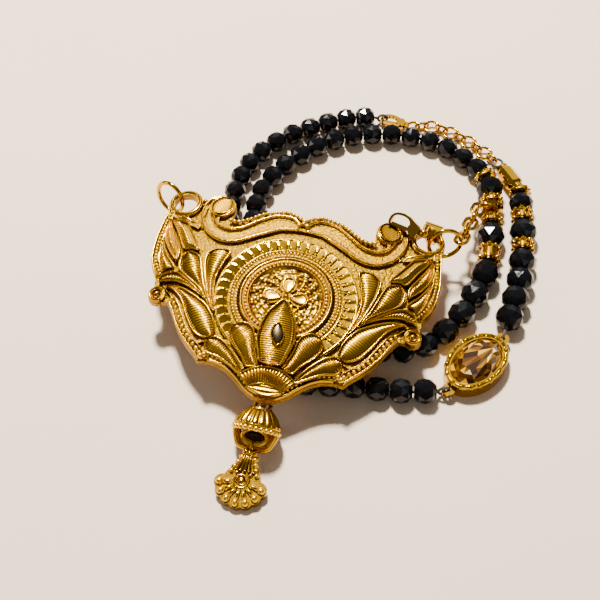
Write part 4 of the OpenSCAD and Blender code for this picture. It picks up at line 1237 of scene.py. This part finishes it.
    def marquise(self, finish: bpy.types.Material, dark: bpy.types.Material) -> None:
        """The dark pointed oval in the lotus and its lip.

        Its half width is 1.08 * the 0.9th power of the cosine of the share along it, it leans with that
        share, and its height is a low crown.

        Args:
            finish: material of the lip.
            dark: material of the oval.
        """
        shell = Shell()
        u = np.linspace(-1, 1, 33)
        v = np.linspace(-1, 1, 11)
        x, y = self.marquise_middle
        taper = np.cos(u * np.pi / 2)
        wide = 1.08 * taper**0.9 + 0.002
        flat = np.stack([wide[:, None] * v[None] + x - self.marquise_lean * u[:, None],
                         np.broadcast_to(2.0 * u[:, None] + y, (len(u), len(v)))], -1)
        rise = 2.35 + 0.16 * (1 - v[None] ** 2) * taper[:, None]
        shell.slab(LIE.place(flat, rise)[:, ::-1], LIE.place(flat[:, [0, -1]], 1.7)[:, ::-1], 0.9)
        shell.piece("lotus_marquise", dark, "antique_gold")
        lip = Shell()
        around = np.linspace(0, 2 * np.pi, 72, endpoint=False)
        bow = 1.22 * np.sign(np.cos(around)) * np.abs(np.cos(around)) ** 1.3
        loop = np.stack([bow + x - self.marquise_lean * np.sin(around), 2.25 * np.sin(around) + y], -1)
        Ridge(width=0.4, low=1.6, high=2.65).add_to(lip, loop, closed=True)
        lip.piece("marquise_lip", finish, "antique_gold")

    def build(self, finish: bpy.types.Material, frosted: bpy.types.Material, granule: bpy.types.Material,
              dark: bpy.types.Material) -> None:
        """Builds all of the carving.

        Args:
            finish: the carved gold.
            frosted: the matt gold of the bands.
            granule: the small balls' gold, paler as a painted highlight.
            dark: the dark polish of the marquise.
        """
        self.leaves(finish)
        self.borders(finish, granule)
        self.scrolls(finish, frosted)
        self.curls(finish)
        self.marquise(finish, dark)


# Beads


def node_triangles(name: str) -> tuple[Array, Array]:
    """Reads a CAD node's mesh.

    Args:
        name: the node.

    Returns:
        Its vertices' places in metres, and its triangles' vertex numbers.
    """
    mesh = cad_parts[name].data
    places = np.zeros(len(mesh.vertices) * 3, np.float32)
    mesh.vertices.foreach_get("co", places)
    mesh.calc_loop_triangles()
    triangles = np.zeros(len(mesh.loop_triangles) * 3, np.int32)
    mesh.loop_triangles.foreach_get("vertices", triangles)
    return places.reshape(-1, 3), triangles.reshape(-1, 3)


def merged(places: Array, triangles: Array, digits: int) -> tuple[Array, Array]:
    """Joins the points that are the same to so many digits, and numbers the triangles' corners anew."""
    _, first, same = np.unique(np.round(places, digits), axis=0, return_index=True, return_inverse=True)
    return places[first], same.reshape(-1)[triangles]


@dataclass
class BlackBeads:
    """Black beads cut all over: rings of points, some of them turned by half a step from the next.

    The stations along the bore and the radii of the rings are shares of the bead's length and width, and
    the first and last ring are the bore's ends.
    """

    nodes: tuple[str, ...] = ("black_beads_first", "black_beads_second", "black_beads_third")
    others: tuple[str, ...] = ("crown_1", "crown_2", "crown_3", "crown_4", "crown_5", "crown_6", "crown_7",
                               "rondelle", "bar_bead")
    stations: tuple[float, ...] = (-0.49, -0.49, -0.30, 0.0, 0.30, 0.49, 0.49)
    radii: tuple[float, ...] = (0.0, 0.27, 0.475, 0.55, 0.475, 0.27, 0.0)
    turns: tuple[float, ...] = (0, 0, 0.5, 0, 0.5, 0, 0)
    sides: int = 9
    bore: float = 0.55
    fit: float = 1.03
    reach: float = 8.0
    seed: int = 11

    def solids(self, node: str) -> list[Array]:
        """Parts a CAD node: points that share a triangle take the lowest label among them until none changes.

        Args:
            node: the CAD node.

        Returns:
            The corners of each separate solid, in millimetres.
        """
        places, triangles = node_triangles(node)
        points, triangles = merged(places / MM, triangles, 3)
        label = np.arange(len(points))
        while True:
            low = label[triangles].min(1)
            after = label.copy()
            for k in range(3):
                np.minimum.at(after, triangles[:, k], low)
            if (after == label).all():
                break
            label = after
        return [points[label == k] for k in np.unique(label)]

    def build(self, finish: bpy.types.Material) -> None:
        """Builds a piece for each CAD run of beads, every bead turned a little differently on its thread.

        Args:
            finish: the glass.
        """
        runs = {node: self.solids(node) for node in self.nodes}
        middles = {node: np.array([(s.min(0) + s.max(0)) / 2 for s in solids]) for node, solids in runs.items()}
        extra = np.array([np.asarray(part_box(n)).mean(0) / MM for n in self.others])
        crowd = np.concatenate([*middles.values(), extra])
        draw = np.random.default_rng(self.seed)
        for node, solids in runs.items():
            shell = Shell()
            for corners, middle in zip(solids, middles[node]):
                self.bead(shell, corners, middle, crowd, float(draw.uniform(0, 1)))
            shell.piece(node + "_cut", finish, "black_bead", replaces=[node], smooth=False)

    def axis(self, corners: Array, middle: Array, crowd: Array) -> Array:
        """Finds the bore: of the ways to and between neighbours, the one that most corners lie a bore from.

        Args:
            corners: the bead's corners.
            middle: its middle.
            crowd: the middles of all beads on the string.

        Returns:
            A unit vector.
        """
        away = crowd - middle
        distance = np.linalg.norm(away, axis=1)
        order = np.argsort(distance)[1:7]
        order = order[distance[order] < self.reach]
        ways = away[order] / distance[order, None]
        pairs = (ways[:, None] - ways[None])[np.triu(ways @ ways.T, 1) < -0.7]
        tries = np.concatenate([ways, pairs / np.linalg.norm(pairs, axis=1, keepdims=True)])
        out = corners - middle
        off = np.linalg.norm(out[None] - (out @ tries.T).T[..., None] * tries[:, None], axis=-1)
        near = (np.abs(off - self.bore) < 0.1).sum(1) + 0.5 * (np.arange(len(tries)) >= len(ways))
        return tries[np.argmax(near)]

    def bead(self, shell: Shell, corners: Array, middle: Array, crowd: Array, turn: float) -> None:
        """Adds one bead: each ring's point is the middle, plus along the bore, plus the ring's radius outward.

        Args:
            shell: the mesh that gets it.
            corners: corners of the CAD bead, which give its length and width.
            middle: its middle.
            crowd: the middles of all beads on the string.
            turn: its turn on the thread, as a share of one side.
        """
        way = self.axis(corners, middle, crowd)
        out = corners - middle
        half_length = np.abs(out @ way).max()
        half_width = np.linalg.norm(out - np.outer(out @ way, way), axis=1).max() / self.fit
        side = np.cross(UP, way)
        side /= np.linalg.norm(side)
        up = np.cross(way, side)
        along, radius = np.array(self.stations) * 2 * half_length, np.array(self.radii) * 2 * half_width
        radius[0] = radius[-1] = self.bore
        step = np.array(self.turns)
        a = 2 * np.pi * (np.arange(self.sides)[None] + step[:, None] + turn) / self.sides
        ring = middle + along[:, None, None] * way + radius[:, None, None] * (
            np.cos(a)[..., None] * side + np.sin(a)[..., None] * up)
        self.join(shell, shell.put(ring, 0.5), step)

    def join(self, shell: Shell, n: Array, step: Array) -> None:
        """Joins neighbouring rings by quads, or by triangles where one is turned by half a step.

        Args:
            shell: the mesh.
            n: the rings' point numbers.
            step: each ring's turn.
        """
        after = np.roll(n, -1, axis=1)
        for k in range(len(n) - 1):
            lower, upper, lower_next, upper_next = n[k], n[k + 1], after[k], after[k + 1]
            if step[k + 1] > step[k]:
                first = np.stack([lower, lower_next, upper], -1)
                second = np.stack([lower_next, upper_next, upper], -1)
            elif step[k + 1] < step[k]:
                first = np.stack([lower, upper_next, upper], -1)
                second = np.stack([lower, lower_next, upper_next], -1)
            else:
                shell.quads(lower, lower_next, upper_next, upper)
                continue
            shell.faces.extend(first.tolist() + second.tolist())
        shell.quads(n[-1], after[-1], after[0], n[0])


# Oval stone


@dataclass
class OvalStone:
    """The large stone, cut in many facets whose random tones are painted reflections, and the hammered lip of
    its frame.
    """

    node: str = "oval_stone"
    middle: Pair = (23.71, -18.74)
    turn: float = 45.3
    length: float = 12.6
    width: float = 8.2
    spread: float = 1.06
    facet_reflection_tones: tuple[float, ...] = (0.02, 0.2, 0.34, 0.5, 0.6, 0.78, 0.98)
    chances: tuple[float, ...] = (0.2, 0.24, 0.2, 0.14, 0.08, 0.1, 0.04)
    seed: int = 23
    lip_steps: int = 220
    lip_low: float = 2.2

    def cut(self, finish: bpy.types.Material) -> None:
        """Splits each facet of the CAD stone at its edges' middles, and gives every part a random tone, a
        painted reflection.

        Args:
            finish: the stone's material.
        """
        places, triangles = node_triangles(self.node)
        centre = np.array([*self.middle, 0.0]) * MM
        places = centre + (places.astype(float) - centre) * [self.spread, self.spread, 1.0]
        points, triangles = merged(places, triangles, 6)
        edges = np.sort(np.stack([triangles, np.roll(triangles, -1, 1)], -1).reshape(-1, 2), axis=1)
        lone, number = np.unique(edges, axis=0, return_inverse=True)
        half = number.reshape(-1, 3) + len(points)
        points = np.vstack([points, points[lone].mean(1)])
        a, b, c = triangles.T
        ab, bc, ca = half.T
        faces = np.concatenate([np.stack(corner, -1) for corner in
                                ((a, ab, ca), (ab, b, bc), (ca, bc, c), (ab, bc, ca))])
        draw = np.random.default_rng(self.seed)
        # Painted reflections: each facet part draws how bright its reflection is.
        tones = draw.choice(self.facet_reflection_tones, len(faces), p=self.chances)
        made = bpy.data.meshes.new("oval_stone_cut")
        made.from_pydata(points.tolist(), [], faces.tolist())
        tone = made.attributes.new("tone", "FLOAT", "FACE")
        tone.data.foreach_set("value", tones.astype(np.float32))
        made.materials.append(finish)
        stone = bpy.data.objects.new("oval_stone_cut", made)
        bpy.context.scene.collection.objects.link(stone)
        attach(stone, ROOT)
        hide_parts(self.node)
        log.info("oval_stone_cut: %d triangles", len(faces))

    def lip(self, finish: bpy.types.Material) -> None:
        """The frame's lip: a half round along an ellipse whose width and height waver with the angle.

        Args:
            finish: its material.
        """
        shell = Shell()
        a = np.linspace(0, 2 * np.pi, self.lip_steps, endpoint=False)
        t = np.linspace(0, np.pi, 9)
        waver = 0.13 * np.sin(17 * a + 1.3 * np.sin(3 * a)) + 0.06 * np.sin(31 * a)
        off = (0.5 + 0.4 * waver)[:, None] + (0.52 + 0.5 * waver[:, None]) * np.cos(t)[None]
        x = (self.length / 2 + off) * np.cos(a)[:, None]
        y = (self.width / 2 + off) * np.sin(a)[:, None]
        z = self.lip_low + (0.95 + 0.9 * waver)[:, None] * np.sin(t)[None]
        x, y = spun(x, y, self.turn)
        # Painted shade: the lip darkens from its top towards its feet.
        tone = (0.25 + 0.75 * np.sin(t)[None] ** 2) * np.ones((self.lip_steps, 1))
        n = shell.put(np.stack([x + self.middle[0], y + self.middle[1], z], -1), tone)
        shell.web(n, wrap_u=True, wrap_v=True)
        shell.piece("oval_lip", finish, "bright_gold")

    def build(self, finish: bpy.types.Material, lip: bpy.types.Material) -> None:
        """Builds the stone and its lip."""
        self.cut(finish)
        self.lip(lip)


# Cap and drop


@dataclass
class CapAndDrop:
    """The fluted bell under the plate, its stirrup with the cup between, and the drop's petals.

    The bell starts at top and runs along way, and the drop hangs on the bar, turned and tilted in
    degrees. The bell's stations and reaches are shares of its length and radius.
    """

    top: Place = (-16.82, -30.79, 5.64)
    way: Place = (-0.211, -0.874, -0.439)
    bar: Place = (-18.34, -37.08, 2.48)
    length: float = 3.6
    radius: float = 4.1
    stations: tuple[float, ...] = (0.02, 0.10, 0.24, 0.40, 0.58, 0.76, 0.90, 1.0, 1.0, 0.75, 0.45)
    reaches: tuple[float, ...] = (0.40, 0.54, 0.66, 0.77, 0.87, 0.95, 1.0, 1.03, 0.86, 0.78, 0.55)
    flutes: int = 18
    fluted_rows: int = 7
    outer_rows: int = 8
    rim_radius: float = 4.2
    rim_grains: int = 26
    strap_knots: tuple[Pair, ...] = ((-3.75, 0.2), (-3.65, 1.2), (-3.2, 2.5), (-2.45, 3.6), (0.0, 3.95),
                                      (2.45, 3.6), (3.2, 2.5), (3.65, 1.2), (3.75, 0.2))
    cup_along: float = 1.75
    turn: float = -15.6
    tilt: float = 7.2
    rose: Place = (0.0, -6.93, 0.0)
    petals: int = 7
    first_petal: float = 192
    petal_step: float = 26
    neck: float = -1.5

    def axes(self) -> tuple[Array, Array, Array]:
        """Works out the cap's own axes.

        Returns:
            Unit vectors sideways, upwards and along the cap.
        """
        along = np.array(self.way) / np.linalg.norm(self.way)
        side = np.cross(along, UP)
        side /= np.linalg.norm(side)
        return side, np.cross(side, along), along

    def hoop(self, count: int) -> Array:
        """A circle of radius 1 round the cap's axis.

        Args:
            count: how many points it has.

        Returns:
            The points.
        """
        side, up, _ = self.axes()
        a = np.linspace(0, 2 * np.pi, count, endpoint=False)
        return np.cos(a)[:, None] * side + np.sin(a)[:, None] * up

    def bell(self, finish: bpy.types.Material, granule: bpy.types.Material) -> None:
        """The bell, closed over its mouth, with its rim and the granules round it.

        Its radius is the profile's, times 1 + 0.085 * the 0.7th power of |sine of half the flutes' angle|.

        Args:
            finish: material of the bell.
            granule: material of the granules.
        """
        shell = Shell()
        _, _, along = self.axes()
        top = np.array(self.top)
        where, reach = np.array(self.stations), np.array(self.reaches)
        number = np.arange(len(where))[:, None]
        count = self.flutes * 12
        a = np.linspace(0, 2 * np.pi, count, endpoint=False)
        wave = np.abs(np.sin(self.flutes * a / 2))[None] ** 0.7
        r = self.radius * reach[:, None] * (1 + 0.085 * wave * ((number > 0) & (number < self.fluted_rows)))
        body = top + self.length * where[:, None, None] * along + r[..., None] * self.hoop(count)
        # Painted light and shade: flute crests light, grooves dark, and the inside of the mouth dark as painted
        # shade.
        n = shell.put(body, np.where(number < self.outer_rows, 0.35 + 0.65 * wave, 0.05))
        shell.web(n[:, ::-1], wrap_v=True)
        shell.faces.append(n[0].tolist())
        shell.faces.append(n[-1][::-1].tolist())
        rim = top + self.length * 0.94 * along + self.rim_radius * self.hoop(96)
        swept(shell, rim, 0.26, 0.26, along, 0.85, 8, closed=True)
        shell.piece("cap_bell", finish, "antique_gold")
        dots = Shell()
        places = top + self.length * 1.12 * along + self.radius * self.hoop(self.rim_grains)
        grains(dots, places, 0.54, sides=12, rings=6)
        dots.piece("cap_rim_granules", granule, "antique_gold")

    def stirrup(self, finish: bpy.types.Material, granule: bpy.types.Material,
                dark: bpy.types.Material) -> None:
        """The strap that runs from rim to rim round the bar, and the cup with a dark ball inside it as painted
        shade in its hole.

        Args:
            finish: material of the strap.
            granule: material of the cup.
            dark: material of the painted shade in the hole.
        """
        shell = Shell()
        side, up, along = self.axes()
        foot = np.array(self.top) + self.length * along
        run = catmull(self.strap_knots, 8)
        path = foot + run[:, :1] * side + run[:, 1:] * along + 0.15 * up
        swept(shell, path, 0.62, 0.6, up, 0.85, 12)
        swept(shell, path + 0.35 * up, 0.22, 0.45, up, 1.0, 8)
        shell.piece("cap_stirrup", finish, "antique_gold")
        middle = foot + self.cup_along * along
        a = np.linspace(0, 2 * np.pi, 64, endpoint=False)
        cup = middle + 0.2 * up + 2.25 * np.cos(a)[:, None] * side + 1.35 * np.sin(a)[:, None] * along
        thick = 0.42 + 0.3 * np.clip(np.sin(a), 0, 1)
        lip = Shell()
        swept(lip, cup, thick, thick * 1.1, up, 0.95, 12, closed=True)
        lip.piece("cap_cup", granule, "antique_gold")
        # Painted shade: a flat dark ball stands in for the shade in the cup's hole.
        hole = Shell()
        turned = np.array([-side, along, np.cross(-side, along)])
        half = np.array([2.1, 1.25, 0.3])
        balls(hole, (middle - 0.1 * up)[None], (turned * half[:, None])[None], 0.0, 32, 8)
        hole.piece("cap_hole_painted_shade", dark, "antique_gold")

    def laid(self, local: Array) -> Array:
        """Hangs points of the drop's own frame on the bar.

        Args:
            local: points, tilted about X and then turned about Z.

        Returns:
            Places in the shared frame.
        """
        x, y, z = local[..., 0], local[..., 1], local[..., 2]
        y, z = spun(y, z, self.tilt)
        x, y = spun(x, y, self.turn)
        return np.stack([x, y, z], -1) + np.array(self.bar)

    def ovals(self, shell: Shell, out: float, lift: float, half: Place) -> None:
        """Adds an oval ball for each petal, laid along it.

        Args:
            shell: the mesh that gets them.
            out: distance of their middles from the rosette's.
            lift: height of their middles over the rosette's.
            half: half axes along the petal, across it and upwards.
        """
        a = np.radians(self.first_petal + self.petal_step * np.arange(self.petals))
        ways = (np.stack([np.cos(a), np.sin(a), 0 * a], -1), np.stack([-np.sin(a), np.cos(a), 0 * a], -1),
                np.broadcast_to(UP, (self.petals, 3)))
        zero = self.laid(np.zeros((1, 3)))
        axes = np.stack([self.laid(way * size) - zero for way, size in zip(ways, half)], 1)
        middles = self.laid(np.array(self.rose) + ways[0] * out + [0, 0, lift])
        balls(shell, middles, axes, 1.0, 14, 7)

    def drop(self, finish: bpy.types.Material, granule: bpy.types.Material) -> None:
        """Seven long petals round the rosette, a ball on each, five ribs, the knot over them and a spiral.

        Args:
            finish: material of the petals, ribs, knot and spiral.
            granule: material of the balls.
        """
        shell, dots = Shell(), Shell()
        self.ovals(shell, 2.5, 0.1, (1.25, 0.5, 0.6))
        self.ovals(dots, 3.95, 0.25, (0.8, 0.66, 0.75))
        lanes = np.arange(5) - 2
        for lane, lift in zip(lanes, 0.5 - 0.08 * np.abs(lanes)):
            rib = np.array([[lane * 0.3, self.neck, lift], [lane * 0.5, -3.2, lift + 0.15],
                            [lane * 0.82, -5.0, lift]])
            path = catmull(self.laid(rib), 6)
            swept(shell, path, 0.14 + 0.2 * np.linspace(0, 1, len(path)), 0.34, UP, 1.0, 8)
        knot = self.laid(np.array([[-0.75, self.neck, 0.75], [0.75, self.neck, 0.75], [0.0, self.neck, 0.85]]))
        grains(shell, knot, np.array([0.62, 0.62, 0.5]), sides=14, rings=8)
        number = np.tile(np.arange(5), 2)
        flank = np.repeat([-1, 1], 5)
        spots = np.stack([flank * (0.9 + 0.36 * number), self.neck - 0.95 * number, 0.35 + 0 * number], -1)
        grains(dots, self.laid(spots), 0.46, sides=12, rings=6)
        dots.piece("drop_granules", granule, "antique_gold")
        angle = np.linspace(0, 3.4 * np.pi, 60)
        reach = 0.25 + 1.2 * angle / angle[-1]
        swirl = np.stack([reach * np.cos(angle), reach * np.sin(angle), 0.75 - 0.1 * reach], -1)
        swept(shell, self.laid(np.array(self.rose) + swirl), 0.24, 0.3, UP, 1.0, 8)
        shell.piece("drop_petals", finish, "antique_gold")

    def build(self, finish: bpy.types.Material, granule: bpy.types.Material, dark: bpy.types.Material) -> None:
        """Builds the bell, its stirrup and the drop's relief.

        Args:
            finish: the carved gold.
            granule: the small balls' gold, paler as a painted highlight.
            dark: the dark gold that paints shade in the cup's hole.
        """
        self.bell(finish, granule)
        self.stirrup(finish, granule, dark)
        self.drop(finish, granule)


# CAD nodes that show


@dataclass
class Metalwork:
    """The CAD nodes that show as they are; an entry that ends with an underscore stands for a row of them."""

    antique: tuple[str, ...] = ("pendant_plate",)
    cast: tuple[str, ...] = ("bail_cap", "flower_drop")
    bright: tuple[str, ...] = ("left_jump_ring", "right_jump_ring", "tie_ring", "pendant_clasp_body",
                               "pendant_clasp_lever", "back_clasp_body", "back_clasp_lever", "oval_frame",
                               "bar_bead", "rondelle", "chain_link_", "extender_link_", "crown_")
    threads: tuple[str, ...] = ("thread_long", "thread_short")

    def dress(self, starts: tuple[str, ...], finish: bpy.types.Material) -> None:
        """Gives CAD nodes a finish.

        Args:
            starts: what the nodes' names start with.
            finish: their material.
        """
        for name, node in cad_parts.items():
            if name.startswith(starts):
                node.data.materials.clear()
                node.data.materials.append(finish)

    def build(self) -> None:
        """Dresses every shown CAD node."""
        # These finishes take their tone from ambient occlusion: painted shade in the CAD nodes' recesses.
        ground = Gold("plate_ground_gold", toned=False, tone=0.66, rough=0.5, smooth=0.4, grain=0.6,
                      grain_scale=1900.0)
        bright = Gold("bright_gold", toned=False, tone=0.92, smooth=0.1, grain=0.004,
                      bright=(0.60, 0.32, 0.004))
        self.dress(self.antique, ground.material())
        self.dress(self.cast, Gold("cast_gold", toned=False, tone=0.75).material())
        self.dress(self.bright, bright.material())
        self.dress(self.threads, Twine().material())


# Studio


@dataclass(frozen=True)
class Lamp:
    """A square soft light: its place and size in metres, its power in watts and its colour."""

    name: str
    place: Place
    size: float
    power: float
    colour: Colour

    def hang(self) -> None:
        """Adds the light, turned to the frame's middle."""
        data = bpy.data.lights.new(self.name, "AREA")
        data.shape, data.size, data.energy, data.color = "SQUARE", self.size, self.power, self.colour
        made = bpy.data.objects.new(self.name, data)
        made.location = self.place
        made.rotation_euler = (-Vector(self.place)).to_track_quat("-Z", "Y").to_euler()
        bpy.context.scene.collection.objects.link(made)


@dataclass
class Studio:
    """Floor, lights and camera; aim and eye are in millimetres, and the rest in metres."""

    aim: Place = (-9.79, -2.44, 0.0)
    eye: Place = (-9.79, -137.64, 186.1)
    lens: float = 69.0
    sensor: float = 36.0
    near: float = 0.01
    far: float = 20.0
    floor_half: float = 3.0
    world_colour: Colour = (1.0, 0.97, 0.93)
    world_power: float = 0.17
    lamps: tuple[Lamp, ...] = (
        Lamp("key", (-0.09, 0.36, 0.60), 0.09, 20.0, (1.0, 0.96, 0.90)),
        Lamp("back_sheet", (0.1, 0.75, 0.7), 0.8, 2.3, (1.0, 0.97, 0.92)),
        Lamp("side_strip", (-0.7, 0.1, 0.3), 0.2, 1.0, (1.0, 0.97, 0.93)),
        Lamp("front_fill", (0.35, -0.75, 0.6), 0.5, 0.9, (1.0, 0.97, 0.93)))

    def floor(self) -> None:
        """A wide plain floor just under the necklace."""
        h = self.floor_half
        mesh = bpy.data.meshes.new("floor")
        mesh.from_pydata([(-h, -h, 0), (h, -h, 0), (h, h, 0), (-h, h, 0)], [], [(0, 1, 2, 3)])
        mesh.materials.append(PaleFloor().material())
        made = bpy.data.objects.new("floor", mesh)
        bpy.context.scene.collection.objects.link(made)

    def lights(self) -> None:
        """A small key behind the necklace, a broad sheet farther back, a strip, a fill and a dim world."""
        for lamp in self.lamps:
            lamp.hang()
        world = bpy.data.worlds.new("studio")
        world.use_nodes = True
        world.node_tree.nodes["Background"].inputs[0].default_value = (*self.world_colour, 1)
        world.node_tree.nodes["Background"].inputs[1].default_value = self.world_power
        bpy.context.scene.world = world

    def camera(self) -> None:
        """The photo's view."""
        data = bpy.data.cameras.new("camera")
        data.lens, data.sensor_width = self.lens, self.sensor
        data.clip_start, data.clip_end = self.near, self.far
        made = bpy.data.objects.new("camera", data)
        eye, aim = Vector(self.eye) * MM, Vector(self.aim) * MM
        made.location = eye
        made.rotation_euler = (aim - eye).to_track_quat("-Z", "Y").to_euler()
        bpy.context.scene.collection.objects.link(made)
        bpy.context.scene.camera = made

    def build(self) -> None:
        """Sets up the whole studio."""
        self.camera()
        self.floor()
        self.lights()


def main() -> None:
    """Builds every sub-assembly in order."""
    logging.basicConfig(level=logging.INFO, format="%(message)s")
    Studio().build()
    Metalwork().build()
    carved = Gold("carved_gold").material()
    frosted = Gold("frosted_gold", rough=0.5, smooth=0.42, grain=0.3, grain_scale=2300.0).material()
    # Granule gold is paler than the carved gold: a painted highlight on the small balls.
    granule = Gold("granule_gold_painted_highlight", bright=(0.86, 0.52, 0.03), rough=0.38, smooth=0.3).material()
    # Dark gold: the marquise's own dark polish, and painted shade in the cup's hole.
    dark = Gold("dark_polish_and_painted_shade", bright=(0.05, 0.035, 0.016), painted_shade_colour=(0.02, 0.012, 0.004), toned=False,
                smooth=0.25).material()
    Medallion().build(carved, granule)
    Carving().build(carved, frosted, granule, dark)
    BlackBeads().build(BlackGlass().material())
    CapAndDrop().build(carved, granule, dark)
    OvalStone().build(AmberStone().material(), carved)


if __name__ == "__main__":
    main()
